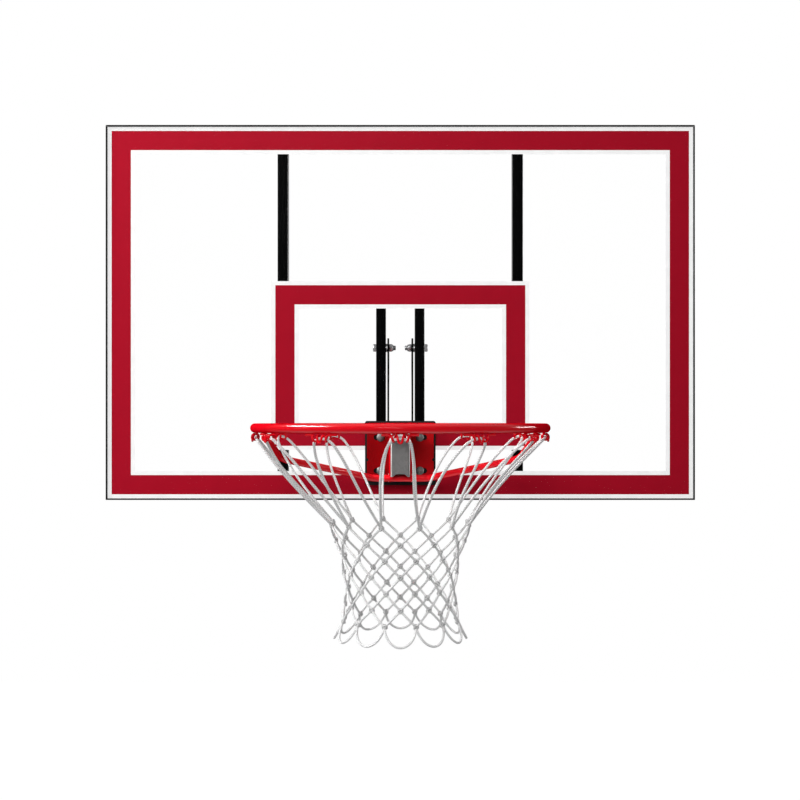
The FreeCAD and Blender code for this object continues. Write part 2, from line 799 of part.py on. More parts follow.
def make_hinge_bracket():
    """The moving U bracket: a slotted web at the base plate, cheeks running forward, hinge lobes below."""
    top = "(-neck_thickness / 2)"
    web_low = "(-hinge_drop + web_above_hinge)"
    lobe_low = "(-hinge_drop - lobe_radius)"
    lobe_front = "(-hinge_reach - lobe_radius)"
    body = new_body("hinge_bracket")
    side = new_sketch(body, "YZ_Plane")
    add_loop(
        side,
        [
            (WEB_BACK, top),
            (WEB_BACK, web_low),
            ("-hinge_reach + lobe_radius", "-hinge_drop"),
            ("-hinge_reach + lobe_radius", lobe_low),
            (lobe_front, lobe_low),
            (lobe_front, CHEEK_LOW),
            ("-bracket_reach_low", CHEEK_LOW),
            ("-bracket_reach_top", top),
        ],
    )
    pad(body, side, f"2 * {CHEEK_OUTER}", both_ways=True)
    below = measure("-hinge_drop - lobe_radius / 2")
    fillet(body, f"{ROUND_END_SHARE} * lobe_radius", X_AXIS, lambda at: at.z < below)
    inside = new_sketch(body, "YZ_Plane")
    add_loop(
        inside,
        [
            (WEB_FRONT, f"{top} + overrun"),
            (WEB_FRONT, web_low),
            (f"{WEB_BACK} + overrun", web_low),
            (f"{WEB_BACK} + overrun", f"{lobe_low} - overrun"),
            ("-bracket_reach_top - overrun", f"{lobe_low} - overrun"),
            ("-bracket_reach_top - overrun", f"{top} + overrun"),
        ],
    )
    pocket(body, inside, f"2 * {CHEEK_INNER}")
    holes = new_sketch(body, "YZ_Plane")
    add_circle(holes, "-hinge_reach", "-hinge_drop", "pin_radius + running_gap")
    add_circle(holes, "-cover_screw_reach", "-cover_screw_drop", "cover_screw_radius + thread_gap")
    pocket(body, holes)
    slot = new_sketch(body, "XZ_Plane")
    width = "spring_bolt_radius + bolt_clearance"
    add_slot(slot, ("0", "-spring_drop - slot_fall"), ("0", "-spring_drop + slot_rise"), width)
    pocket(body, slot)


def make_spring_cover():
    """A folded channel over the spring, open to the back, its front a little longer and cut away in the middle."""
    low = f"({CHEEK_LOW} + rest_gap)"
    lip = f"({low} - cover_lip)"
    front = "(-cover_reach)"
    back = f"({WEB_FRONT} - rest_gap)"
    body = new_body("spring_cover")
    side = new_sketch(body, "YZ_Plane")
    add_loop(
        side,
        [
            (front, lip),
            (f"{front} + cover_lip_reach", lip),
            (f"{front} + cover_lip_reach", low),
            (back, low),
            (back, "-cover_top"),
            (front, "-cover_top"),
        ],
    )
    pad(body, side, "cover_width", both_ways=True)
    ahead = measure(front) + measure("cover_wall") / 2
    fillet(body, "cover_bend", Z_AXIS, lambda at: at.y < ahead)
    inside = new_sketch(body, "YZ_Plane")
    heights = (f"{low} - overrun", "-cover_top + overrun")
    add_loop(inside, box_points(f"{front} + cover_wall", f"{back} + overrun", *heights))
    pocket(body, inside, "cover_width - 2 * cover_wall")
    notch = new_sketch(body, "XZ_Plane", "cover_reach - cover_wall / 2")
    half = "cover_notch_width / 2"
    add_loop(
        notch,
        [
            (f"-{half}", lip),
            (half, lip),
            (f"{half} - cover_notch_slope", f"{lip} + cover_notch_height"),
            (f"-{half} + cover_notch_slope", f"{lip} + cover_notch_height"),
        ],
    )
    pocket(body, notch, "2 * cover_wall")
    holes = new_sketch(body, "YZ_Plane")
    add_circle(holes, "-cover_screw_reach", "-cover_screw_drop", "cover_screw_radius + thread_gap")
    pocket(body, holes)
    head = ("cover_screw_head", "cover_screw_head_height", "-cover_screw_head_height")
    length = "bracket_wall + cover_nest + cover_wall"
    screw = joined(
        "cover_screw",
        cylinder("cover_screw_top", *head),
        cylinder("cover_screw_shank", "cover_screw_radius", length),
    )
    group("cover_screws", screw, both_sides(CHEEK_OUTER, "-cover_screw_reach", ("-cover_screw_drop",)))


def make_spring_hardware():
    length = "spring_bolt_reach - gasket_thickness"
    bolt = joined(
        "spring_bolt_drawn",
        cylinder("spring_bolt_head", "spring_head_radius", "spring_head_height", "-spring_head_height"),
        cylinder("spring_bolt_shank", "spring_bolt_radius", length),
    )
    group("spring_bolt", bolt, [("front", "0", "-gasket_thickness", "-spring_drop")])
    bore = "spring_bolt_radius + thread_gap"
    washer = without(
        "spring_washer_drawn",
        cylinder("spring_washer_disc", "spring_washer_radius", "spring_washer_thickness"),
        cylinder("spring_washer_bore", bore, "spring_washer_thickness"),
    )
    group("spring_washer", washer, [("front", "0", SPRING_END, "-spring_drop")])
    nut = without(
        "spring_nut_drawn",
        hexagon("spring_nut_body", "spring_nut_width", "spring_nut_height"),
        cylinder("spring_nut_bore", bore, "spring_nut_height"),
    )
    at = f"{SPRING_END} - spring_washer_thickness"
    group("spring_nut", nut, [("front", "0", at, "-spring_drop")])


def set_shape(label, shape):
    made = doc.addObject("Part::Feature", label)
    made.Shape = shape
    return seat(made, label)


def biarc(start, along, end, onward):
    """Two tangent arcs from one point and direction to another, with equal tangent lengths."""
    chord = end - start
    total = along + onward
    a = total.dot(total) - 4
    b = -2 * chord.dot(total)
    reach = (-b - math.sqrt(b * b - 4 * a * chord.dot(chord))) / (2 * a)
    if reach < 0:
        reach = (-b + math.sqrt(b * b - 4 * a * chord.dot(chord))) / (2 * a)
    join = (start + along * reach + end - onward * reach) / 2
    return [
        Part.Arc(start, arc_middle(start, along, join), join).toShape(),
        Part.Arc(join, arc_middle(end, -onward, join), end).toShape(),
    ]


def arc_middle(start, along, end):
    """The middle point of the arc that leaves start in one direction and reaches end."""
    chord = end - start
    turn = along.getAngle(chord)
    bulge = (along - chord * (along.dot(chord) / chord.dot(chord))).normalize()
    return start + chord / 2 + bulge * (chord.Length / 2 * math.tan(turn / 2))


def make_spring():
    """An open compression spring round the bolt, from the web to the washer."""
    wire = measure("spring_wire")
    radius = measure("spring_radius")
    gap = measure("spring_seat_gap") + wire / 2
    first = measure(WEB_FRONT) - gap
    last = measure(SPRING_END) + gap
    steps = round(SPRING_TURNS * TURN_ARCS)
    rise = (last - first) / (SPRING_TURNS * 2 * math.pi)
    level = measure("-spring_drop")

    def place(angle):
        return Vector(radius * math.cos(angle), first + rise * angle, level + radius * math.sin(angle))

    def direction(angle):
        return Vector(-radius * math.sin(angle), rise, radius * math.cos(angle)).normalize()

    angles = [2 * math.pi * SPRING_TURNS * i / steps for i in range(steps + 1)]
    edges = []
    for before, after in zip(angles, angles[1:]):
        edges += biarc(place(before), direction(before), place(after), direction(after))
    path = Part.Wire(edges)
    profile = polygon(place(0), direction(0), wire / 2)
    set_shape("breakaway_spring", path.makePipeShell([profile], True, False))

    # Least gap between the wire and the turn beside it, measured on points a whole turn apart or nearly so
    spots = path.discretize(Number=steps * TURN_ARCS + 1)
    turn = TURN_ARCS * TURN_ARCS
    pairs = [
        spots[i].distanceToPoint(spots[j])
        for i in range(len(spots))
        for j in range(i + turn // 2, len(spots))
    ]
    print("breakaway_spring: least gap to itself", round(min(pairs) - wire, 2), "mm")


def polygon(centre, along, radius):
    """A regular outline round a cord or a wire, square to its direction."""
    side = along.cross(X_AXIS if abs(along.z) > STRAIGHT_SHARE else Z_AXIS).normalize()
    up = along.cross(side)
    turns = [2 * math.pi * i / CORD_SIDES for i in range(CORD_SIDES)]
    points = [centre + (side * math.cos(a) + up * math.sin(a)) * radius for a in turns]
    return Part.makePolygon(points + points[:1])


def cord(points, radius):
    """A many-sided cord along straight runs, mitred where it turns."""
    profile = polygon(points[0], (points[1] - points[0]).normalize(), radius)
    if len(points) == 2:
        return Part.Face(profile).extrude(points[1] - points[0])
    path = Part.makePolygon(points)
    return path.makePipeShell([profile], True, False, 1)


def rounded_path(points, radii):
    """Straight runs joined by tangent arcs of the given radii."""
    edges = []
    at = points[0]
    for before, corner, after, radius in zip(points, points[1:], points[2:], radii):
        to_before = (before - corner).normalize()
        to_after = (after - corner).normalize()
        half = to_before.getAngle(to_after) / 2
        run = radius / math.tan(half)
        start = corner + to_before * run
        end = corner + to_after * run
        inward = (to_before + to_after).normalize()
        middle = corner + inward * (radius / math.sin(half) - radius)
        edges.append(Part.LineSegment(at, start).toShape())
        edges.append(Part.Arc(start, middle, end).toShape())
        at = end
    edges.append(Part.LineSegment(at, points[-1]).toShape())
    return Part.Wire(edges)


def round_ring(angle, radius, z, sideways=0.0):
    """A place about the ring's axis: angle from the front, radius, height, and a step along the ring."""
    turn = math.radians(angle)
    x = radius * math.sin(turn) + sideways * math.cos(turn)
    y = measure(RING_Y) - radius * math.cos(turn) + sideways * math.sin(turn)
    return Vector(x, y, z)


def make_ring():
    ring = doc.addObject("Part::Torus", "ring")
    bind(ring, "Radius1", RING_RADIUS)
    bind(ring, "Radius2", "ring_rod / 2")
    seat(ring, "ring", y=RING_Y)


def make_neck():
    """The flat neck from the bracket to the back of the ring, its front edge shaped to the rod."""
    front = f"({RING_Y} + {RING_RADIUS})"
    blank = doc.addObject("PartDesign::Body", "neck_blank")
    plan = new_sketch(blank, "XY_Plane")
    outline = [
        (CHEEK_OUTER, WEB_BACK),
        (CHEEK_OUTER, "-neck_straight"),
        ("neck_front_width / 2", front),
    ]
    mirrored = [(f"-({x})", y) for x, y in reversed(outline)]
    add_loop(plan, outline + mirrored)
    pad(blank, plan, "neck_thickness", both_ways=True)
    room = doc.addObject("Part::Torus", "neck_room")
    bind(room, "Radius1", RING_RADIUS)
    bind(room, "Radius2", "ring_rod / 2 + weld_gap")
    bind(room, "Placement.Base.y", RING_Y)
    seat(without("neck", blank, room), "neck")


def make_brace():
    """One bent rod from side to side: from under the ring, back and down, and across under the bracket."""
    under = measure("-ring_rod / 2 - brace_rod / 2 - weld_gap")
    start = round_ring(BRACE_ANGLE, measure(RING_RADIUS), under)
    bend = Vector(measure("brace_bend_x"), measure("-brace_bend_reach"), measure("-brace_bend_drop"))
    flat = Vector(measure("brace_flat / 2"), measure("-brace_reach"), measure("-hinge_drop"))
    half = [start, bend, flat]
    points = half + [Vector(-p.x, p.y, p.z) for p in reversed(half)]
    bends = [measure("brace_bend_radius"), measure("brace_flat_radius")]
    path = rounded_path(points, bends + bends[::-1])
    along = (bend - start).normalize()
    profile = Part.Wire(Part.makeCircle(measure("brace_rod / 2"), start, along))
    shape = path.makePipeShell([profile], True, False)
    section = Part.Face(profile).Area
    print("brace: volume as a share of section times length", shape.Volume / (section * path.Length))
    set_shape("brace", shape)


def make_hooks():
    """Bent wire hooks under the ring, each gripping a loop of the net."""
    level = measure("-ring_rod / 2 - hook_wire / 2 - weld_gap")
    wide, deep, drop = (measure(n) for n in ("hook_half_width", "hook_depth", "hook_drop"))
    radius = measure(RING_RADIUS)
    half = [(w * wide, d * deep, level - z * drop) for w, d, z in HOOK_SHARES]
    whole = half + [(-t, n, z) for t, n, z in reversed(half)]
    hooks = []
    for i in range(HOOK_COUNT):
        angle = 360 * i / HOOK_COUNT
        points = [round_ring(angle, radius + n, z, t) for t, n, z in whole]
        hooks.append(cord(points, measure("hook_wire / 2")))
    set_shape("net_hooks", Part.makeCompound(hooks))


def knot(centre, outward):
    """A faceted knot, fuller in the middle, whose axis points out of the net."""
    length = measure("knot_length")
    radius = measure("knot_radius")
    rings = []
    for along, size in KNOT_SHARES:
        rings.append(polygon(centre + outward * ((along - 0.5) * length), outward, radius * size))
    return Part.makeLoft(rings, True, True)


def make_net():
    """Twelve equal gores of knotted cord that meet in the middles of their shared knots."""
    ring = measure(RING_RADIUS)
    length = measure("net_length")
    pitch = 360 / HOOK_COUNT / 2
    rows = [(r * ring, -d * length) for r, d in zip(ROW_RADIUS_SHARES, ROW_DROP_SHARES)]
    thick = measure("cord / 2")
    mesh = measure("mesh_cord / 2")
    cradle = measure(f"-ring_rod / 2 - hook_wire / 2 - weld_gap - {CRADLE_SHARE} * hook_drop")
    seat_z = cradle + measure("hook_wire / 2 + cord_seat_gap") + thick

    # The top loop: level over the hook, then two legs that spread at once and run down to the first knots
    straight = measure("cord_straight")
    knot_r, knot_z = rows[0]
    side_end = knot_r * math.sin(math.radians(pitch))
    deep_end = knot_r * math.cos(math.radians(pitch))
    leg = [(straight, ring, seat_z)]
    for share in LEG_SHARES:
        spread = 1 - (1 - share) ** LEG_SPREAD_POWER
        bow = measure("cord_bow") * math.sin(math.pi * share)
        side = straight + (side_end - straight) * spread + SIDE_BOW_SHARE * bow
        leg.append((side, ring + (deep_end - ring) * share + bow, seat_z + (knot_z - seat_z) * share))
    loop = [(-t, r, z) for t, r, z in reversed(leg)] + leg
    solids = [cord([round_ring(0, r, z, t) for t, r, z in loop], thick)]

    # The knots and strands, row by row, odd rows on the gore's edges and even rows on its middle
    places = []
    for i, (r, z) in enumerate(rows):
        angles = (-pitch, pitch) if i % 2 == 0 else (0,)
        places.append([round_ring(a, r, z) for a in angles])
        for a in angles:
            outward = round_ring(a, 1, 0) - round_ring(a, 0, 0)
            solids.append(knot(round_ring(a, r, z), outward))
    for upper, lower in zip(places, places[1:]):
        solids += [cord([a, b], mesh) for a in upper for b in lower]

    # The bottom loop: half an ellipse from knot to knot that flares outwards
    last_r, last_z = rows[-1]
    width = last_r * math.sin(math.radians(pitch))
    depth = last_r * math.cos(math.radians(pitch))
    out = LOOP_RADIUS_SHARE * ring - depth
    drop = length + last_z
    turns = [math.pi * i / LOOP_STEPS for i in range(LOOP_STEPS + 1)]
    bottom = [
        (-width * math.cos(a), depth + out * math.sin(a), last_z - (drop - mesh) * math.sin(a))
        for a in turns
    ]
    solids.append(cord([round_ring(0, r, z, t) for t, r, z in bottom], mesh))

    whole = solids[0].multiFuse(solids[1:])
    reach = ring + measure("overrun")
    high = measure("overrun")
    corners = [round_ring(0, 0, high)]
    corners += [round_ring(side * pitch, reach, high) for side in (-1, 1)]
    slice_face = Part.Face(Part.makePolygon(corners + corners[:1]))
    gore = whole.common(slice_face.extrude(-Z_AXIS * (length + 2 * high)))
    if len(gore.Solids) != 1:
        raise RuntimeError(f"net: a gore came out as {len(gore.Solids)} solids")
    axis = round_ring(0, 0, 0)
    gores = []
    for i in range(HOOK_COUNT):
        copy = gore.Solids[0].copy()
        copy.rotate(axis, Z_AXIS, 360 * i / HOOK_COUNT)
        gores.append(copy)
    set_shape("net", Part.makeCompound(gores))


make_panel()
make_prints()
make_frame()
make_mount_plates()
make_rim_hardware(make_mount_hardware())
make_gasket()
make_base_plate()
make_hinge_hardware()
make_hinge_bracket()
make_spring_cover()
make_spring_hardware()
make_spring()
make_ring()
make_neck()
make_brace()
make_hooks()
make_net()

doc.recompute()
failed = [o.Label for o in doc.Objects if "Invalid" in o.State or "Error" in o.State]
for node in nodes:
    if node.Shape.isNull() or not node.Shape.isValid() or not node.Shape.Solids:
        failed.append(node.Label)
if failed:
    raise RuntimeError(f"these pieces failed: {failed}")
os.makedirs("parts", exist_ok=True)
for node in nodes:
    node.Shape.exportStep(os.path.join("parts", f"{node.Label}.step"))
    print(node.Label, len(node.Shape.Solids), "solids", round(node.Shape.Volume), "mm3")
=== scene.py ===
import math
import bmesh
import bpy
import numpy as np
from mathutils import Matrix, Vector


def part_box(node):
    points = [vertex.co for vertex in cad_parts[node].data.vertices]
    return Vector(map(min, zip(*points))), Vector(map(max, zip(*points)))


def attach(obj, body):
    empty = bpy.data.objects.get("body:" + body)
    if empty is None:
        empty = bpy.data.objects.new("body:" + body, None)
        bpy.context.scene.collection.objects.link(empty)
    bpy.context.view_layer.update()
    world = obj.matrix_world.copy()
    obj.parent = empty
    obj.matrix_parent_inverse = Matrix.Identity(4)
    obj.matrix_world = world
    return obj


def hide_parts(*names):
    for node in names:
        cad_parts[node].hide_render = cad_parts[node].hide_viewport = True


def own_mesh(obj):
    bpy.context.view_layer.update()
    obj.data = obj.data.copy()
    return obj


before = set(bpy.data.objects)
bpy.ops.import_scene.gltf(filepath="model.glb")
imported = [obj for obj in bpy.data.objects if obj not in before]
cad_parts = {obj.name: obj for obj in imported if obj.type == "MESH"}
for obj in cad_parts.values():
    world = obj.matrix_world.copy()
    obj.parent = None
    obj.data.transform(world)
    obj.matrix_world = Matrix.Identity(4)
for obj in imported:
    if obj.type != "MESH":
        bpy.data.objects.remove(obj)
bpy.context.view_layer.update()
cadNodes = list(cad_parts)
print("frame loaded:", len(cadNodes), "nodes")

fullTurn = 2 * math.pi
upward = np.array([0.0, 0.0, 1.0])


def nodeBox(name):
    # a CAD node's lowest and highest corners
    low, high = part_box(name)
    return np.array(low), np.array(high)


def addObject(name, data):
    thing = bpy.data.objects.new(name, data)
    bpy.context.scene.collection.objects.link(thing)
    return thing


class Nodes:
    # one shader tree and short ways to add to it
    def __init__(self, tree):
        self.tree = tree

    def wire(self, source, socket):
        # links a socket, or sets a number or a colour
        if isinstance(source, bpy.types.NodeSocket):
            self.tree.links.new(source, socket)
        else:
            socket.default_value = source

    def add(self, kind, wires=None, **values):
        # one node with its settings and what goes into its sockets
        node = self.tree.nodes.new(kind)
        for key, value in values.items():
            setattr(node, key, value)
        for key, source in (wires or {}).items():
            self.wire(source, node.inputs[key])
        return node

    def math(self, operation, *values):
        return self.add("ShaderNodeMath", dict(enumerate(values)), operation=operation).outputs[0]

    def ranged(self, value, low, high, start=0.0, end=1.0, **values):
        # the stretch from start to end becomes the stretch from low to high
        wires = {"Value": value, "From Min": start, "From Max": end, "To Min": low, "To Max": high}
        return self.add("ShaderNodeMapRange", wires, **values).outputs["Result"]

    def place(self):
        return self.add("ShaderNodeTexCoord").outputs["Object"]

    def noise(self, scale, detail=3.0):
        wires = {"Vector": self.place(), "Scale": scale, "Detail": detail}
        return self.add("ShaderNodeTexNoise", wires).outputs["Fac"]

    def axisOf(self, vector, letter):
        return self.add("ShaderNodeSeparateXYZ", {"Vector": vector}).outputs[letter]

    def seenRays(self):
        # one where a ray comes from the camera, a reflection or a clear surface
        path = self.add("ShaderNodeLightPath").outputs
        either = self.math("MAXIMUM", path["Is Camera Ray"], path["Is Glossy Ray"])
        return self.math("MAXIMUM", either, path["Is Transmission Ray"])


class Group(Nodes):
    # a shader group under construction, with named number inputs and named outputs
    def __init__(self, name, inputs, outputs):
        super().__init__(bpy.data.node_groups.new(name, "ShaderNodeTree"))
        sockets = self.tree.interface
        for label, value in inputs.items():
            socket = sockets.new_socket(label, in_out="INPUT", socket_type="NodeSocketFloat")
            socket.default_value = value
        for label in outputs:
            sockets.new_socket(label, in_out="OUTPUT", socket_type="NodeSocketFloat")
        self.given = self.tree.nodes.new("NodeGroupInput").outputs
        self.out = self.tree.nodes.new("NodeGroupOutput").inputs


def makePeelGroup():
    # the fine dimples of sprayed and baked powder, and its slow cloudy change of tone
    group = Group("orangePeel", {"Dimples": 620.0, "Clouds": 9.0}, ("Height", "Tone"))
    group.wire(group.noise(group.given["Dimples"], detail=2.0), group.out["Height"])
    group.wire(group.noise(group.given["Clouds"], detail=4.0), group.out["Tone"])
    return group.tree


def makeScuffGroup():
    # rubs and settled dust: broad patches broken up by fine streaks
    group = Group("scuffs", {"Patches": 14.0, "Streaks": 210.0, "Spread": 0.58}, ("Mask",))
    patch = group.noise(group.given["Patches"], detail=5.0)
    streak = group.noise(group.given["Streaks"], detail=3.0)
    full = group.given["Spread"]
    span = (group.math("MULTIPLY", full, 0.5), full)
    both = group.math("MULTIPLY", patch, streak)
    group.wire(group.ranged(both, 0.0, 1.0, *span, interpolation_type="SMOOTHSTEP"), group.out["Mask"])
    return group.tree


def makeBraidGroup():
    # two sets of yarns that wind opposite ways round the cord; u runs along it in diameters, v once round it
    group = Group("braid", {"Along": 1.3, "Around": 4.0}, ("Height", "Shade"))
    place = group.add("ShaderNodeUVMap", uv_map="cordMap").outputs["UV"]
    along = group.math("MULTIPLY", group.axisOf(place, "X"), group.given["Along"])
    around = group.math("MULTIPLY", group.axisOf(place, "Y"), group.given["Around"])
    waves = []
    for way in ("ADD", "SUBTRACT"):
        angle = group.math("MULTIPLY", group.math(way, along, around), fullTurn)
        waves.append(group.math("SINE", angle))
    height = group.math("MAXIMUM", *waves)
    group.wire(height, group.out["Height"])
    group.wire(group.ranged(height, 0.0, 1.0, start=-0.6, end=0.9), group.out["Shade"])
    return group.tree


groups = {"peel": makePeelGroup(), "scuffs": makeScuffGroup(), "braid": makeBraidGroup()}


class Finish(Nodes):
    # one material under construction
    def __init__(self, name, **sockets):
        self.material = bpy.data.materials.new(name)
        self.material.use_nodes = True
        super().__init__(self.material.node_tree)
        self.shader = self.tree.nodes["Principled BSDF"]
        for key, value in sockets.items():
            self.shader.inputs[key.replace("_", " ")].default_value = value

    def group(self, key, **values):
        return self.add("ShaderNodeGroup", values, node_tree=groups[key]).outputs

    def cells(self, scale):
        return self.add("ShaderNodeTexVoronoi", {"Vector": self.place(), "Scale": scale}).outputs

    def objectAxis(self, letter):
        return self.axisOf(self.place(), letter)

    def normalAxis(self, letter):
        return self.axisOf(self.add("ShaderNodeNewGeometry").outputs["Normal"], letter)

    def slant(self):
        # nought where the surface is seen square on, and one where it is seen along itself
        return self.add("ShaderNodeLayerWeight", {"Blend": 0.5}).outputs["Facing"]

    def mixed(self, share, first, second):
        node = self.add("ShaderNodeMix", data_type="RGBA")
        for key, source in (("Factor_Float", share), ("A_Color", first), ("B_Color", second)):
            self.wire(source, next(s for s in node.inputs if s.identifier == key))
        return next(s for s in node.outputs if s.identifier == "Result_Color")

    def feed(self, key, source):
        self.wire(source, self.shader.inputs[key])

    def done(self, colour, dullness=None, bump=None):
        # the finished material; dullness is what the roughness follows and its limits, and bump is a height,
        # a strength and a distance
        self.feed("Base Color", colour)
        if dullness:
            self.feed("Roughness", self.ranged(*dullness))
        if bump:
            wires = dict(zip(("Height", "Strength", "Distance"), bump))
            self.feed("Normal", self.add("ShaderNodeBump", wires).outputs["Normal"])
        return self.material


def tint(red, green, blue):
    return (red, green, blue, 1.0)


def grey(value):
    return tint(value, value, value)


# Finishes: a bump is its strength and its distance in metres, a dullness is the least and most roughness
def makeClearSheet():
    # clear plastic: almost nothing seen square on, more reflection along it, and faint smudges
    look = {"face": 0.0010, "grazing": 0.45, "rise": 3.0, "smudge": 0.003}
    finish = Finish("clearSheet", Base_Color=tint(0.12, 0.125, 0.13), Roughness=0.06, IOR=1.49)
    edge = finish.math("POWER", finish.slant(), look["rise"])
    smudge = finish.ranged(finish.group("scuffs", Patches=4.0, Streaks=30.0)["Mask"], 0.0, look["smudge"])
    sheen = finish.ranged(edge, look["face"], look["grazing"])
    finish.feed("Alpha", finish.math("ADD", sheen, smudge))
    return finish.material


inkLook = {
    # the red is painted lighter on the left than on the right, a painted light
    "redLeft": tint(0.412, 0.0046, 0.0192),
    "redRight": tint(0.378, 0.0044, 0.0180),
    "redPaintedLightReach": 0.56,                           # from the middle to where each tone is pure
    "redCloud": tint(0.22, 0.003, 0.012),
    "redCloudScale": 38.0,
    "redCloudSpan": (0.35, 0.75),
    "cloudShare": 0.10,
    "whiteBody": (grey(0.40), grey(0.44)),
    # painted glow: the emission colour of the white ink
    "whitePaintedGlow": (grey(0.94), grey(1.0)),
    "whiteCloudScale": 45.0,
    "whiteCloudSpan": (0.3, 0.7),
    "paintedGlowStrength": 0.56,
    "grain": 900.0,
    "dullness": (0.42, 0.58),
}


def makeRedInk():
    # screen-printed red, slightly cloudy, and painted a little lighter towards the left, a painted light from
    # the left
    look = inkLook
    finish = Finish("redInk", Specular_IOR_Level=0.02)
    across = finish.ranged(finish.objectAxis("X"), 0.0, 1.0, -look["redPaintedLightReach"], look["redPaintedLightReach"])
    base = finish.mixed(across, look["redLeft"], look["redRight"])
    cloud = finish.ranged(finish.noise(look["redCloudScale"]), 0.0, look["cloudShare"], *look["redCloudSpan"])
    colour = finish.mixed(cloud, base, look["redCloud"])
    return finish.done(colour, (finish.noise(look["grain"]), *look["dullness"]))


def makeWhiteInk():
    # thin white ink: about half of its brightness is a painted glow, an emission that keeps it white also
    # where the frame's lip shades it
    look = inkLook
    finish = Finish("whiteInk", Specular_IOR_Level=0.05, Emission_Strength=look["paintedGlowStrength"])
    cloud = finish.ranged(finish.noise(look["whiteCloudScale"]), 0.0, 1.0, *look["whiteCloudSpan"])
    finish.feed("Emission Color", finish.mixed(cloud, *look["whitePaintedGlow"]))
    colour = finish.mixed(cloud, *look["whiteBody"])
    return finish.done(colour, (finish.noise(look["grain"]), *look["dullness"]))


def makeFoam():
    # closed-cell foam: small round cells
    look = {
        "pits": tint(0.012, 0.012, 0.013), "walls": tint(0.05, 0.05, 0.052), "cells": 900.0,
        "bump": (0.5, 0.0004),
    }
    finish = Finish("foamTape", Roughness=0.9, Specular_IOR_Level=0.1)
    cells = finish.cells(look["cells"])["Distance"]
    return finish.done(finish.mixed(cells, look["pits"], look["walls"]), bump=(cells, *look["bump"]))


def makeBlackPowder():
    # satin black powder coat: dimples, slow cloudiness and a little dust; its sides that face the front,
    # which lie behind the panel, are painted blackest, a painted shade, and only its other sides get the
    # satin colour and the clear skin
    look = {
        # painted shade: the front-facing sides take the darker pair
        "behind": (tint(0.0003, 0.0003, 0.0004), tint(0.0012, 0.0012, 0.0014)),
        "satin": (tint(0.0090, 0.0090, 0.0095), tint(0.0150, 0.0150, 0.0155)),
        "dust": tint(0.012, 0.0116, 0.011),
        "dustShare": 0.10,
        "skin": 0.45,
        "frontSide": (-0.8, -0.4),
        "toneSpan": (0.3, 0.7),
        "dullness": (0.36, 0.52),
        "bump": (0.22, 0.00035),
    }
    finish = Finish("blackPowder", Specular_IOR_Level=0.008, Coat_Roughness=0.30, Coat_IOR=1.5)
    awayFromFront = finish.ranged(finish.normalAxis("Y"), 0.0, 1.0, *look["frontSide"])
    peel = finish.group("peel", Dimples=720.0, Clouds=7.0)
    dust = finish.group("scuffs", Patches=11.0, Streaks=260.0, Spread=0.5)["Mask"]
    behind = finish.mixed(peel["Tone"], *look["behind"])
    satin = finish.mixed(peel["Tone"], *look["satin"])
    dusty = finish.ranged(dust, 0.0, look["dustShare"])
    finish.feed("Coat Weight", finish.ranged(awayFromFront, 0.0, look["skin"]))
    return finish.done(
        finish.mixed(dusty, finish.mixed(awayFromFront, behind, satin), look["dust"]),
        (peel["Tone"], *look["dullness"], *look["toneSpan"]), (peel["Height"], *look["bump"]),
    )


redPowderLook = {
    "lean": (0.30, 0.75),       # between these a side goes from upright to level
    "slant": (0.42, 0.62),      # between these the skin's gloss dies away along the surface
    "wornShare": 0.65,          # of the deep red; green and blue are the same for all
    "wornRest": (0.010, 0.012),
    "rubShare": 0.22,
    "rubbedSkin": 0.7,
    "dullness": (0.27, 0.44),
    "bump": (0.04, 0.00035),
}


def makeRedPowder(name, pale, deep, upright, level, fade=None):
    # red powder coat under a clear skin: dull on upright sides and glossy on level ones, a painted reflection
    # that keeps its reflections to tops and bottoms; its tone changes in slow clouds, or, where a reach is
    # given, from left to right over it, a painted shade
    look = redPowderLook
    finish = Finish(name, Coat_Roughness=0.15, Coat_IOR=1.5, Specular_IOR_Level=0.0)
    # painted reflection: the skin's gloss follows how level a side is
    lean = finish.ranged(finish.math("ABSOLUTE", finish.normalAxis("Z")), upright, level, *look["lean"])
    skin = finish.math("MULTIPLY", lean, finish.ranged(finish.slant(), 1.0, 0.0, *look["slant"]))
    peel = finish.group("peel", Dimples=520.0, Clouds=12.0)
    rub = finish.group("scuffs", Patches=17.0, Streaks=300.0, Spread=0.52)["Mask"]
    # with a reach, the tone runs from the first colour on the left to the second on the right, a painted
    # shade
    tone = finish.ranged(finish.objectAxis("X"), 0.0, 1.0, -fade, fade) if fade else peel["Tone"]
    worn = tint(look["wornShare"] * deep[0], *look["wornRest"])
    rubbed = finish.ranged(rub, 0.0, look["rubShare"])
    finish.feed("Coat Weight", finish.math("MULTIPLY", skin, finish.ranged(rub, 1.0, look["rubbedSkin"])))
    colour = finish.mixed(rubbed, finish.mixed(tone, pale, deep), worn)
    return finish.done(colour, (rub, *look["dullness"]), (peel["Height"], *look["bump"]))


zincLook = {
    "dullShare": 0.72, "rubShare": 0.5, "paintedHighlightBend": tint(0.86, 0.85, 0.84), "grit": 1500.0,
    "bump": (0.08, 0.0002),
}


def makeZinc(name, pale, dark, grain, bend=None, dullness=(0.30, 0.40)):
    # zinc plate: crystals of slightly different grey, duller where it has been handled, and a painted
    # highlight along a bend, given as where across the piece the highlight starts and is full, and how bright
    # it is
    look = zincLook
    finish = Finish(name, Metallic=1.0)
    crystal = finish.add("ShaderNodeSeparateColor", {"Color": finish.cells(grain)["Color"]})
    value = crystal.outputs["Red"]
    rub = finish.group("scuffs", Patches=40.0, Streaks=500.0, Spread=0.5)["Mask"]
    dull = tint(*(look["dullShare"] * part for part in dark[:3]))
    colour = finish.mixed(finish.ranged(rub, 0.0, look["rubShare"]), finish.mixed(value, pale, dark), dull)
    if bend:
        # painted highlight: a bright stripe along the bend
        start, end, share = bend
        worn = finish.ranged(finish.objectAxis("X"), 0.0, share, start, end)
        colour = finish.mixed(worn, colour, look["paintedHighlightBend"])
    return finish.done(colour, (value, *dullness), (finish.noise(look["grit"]), *look["bump"]))


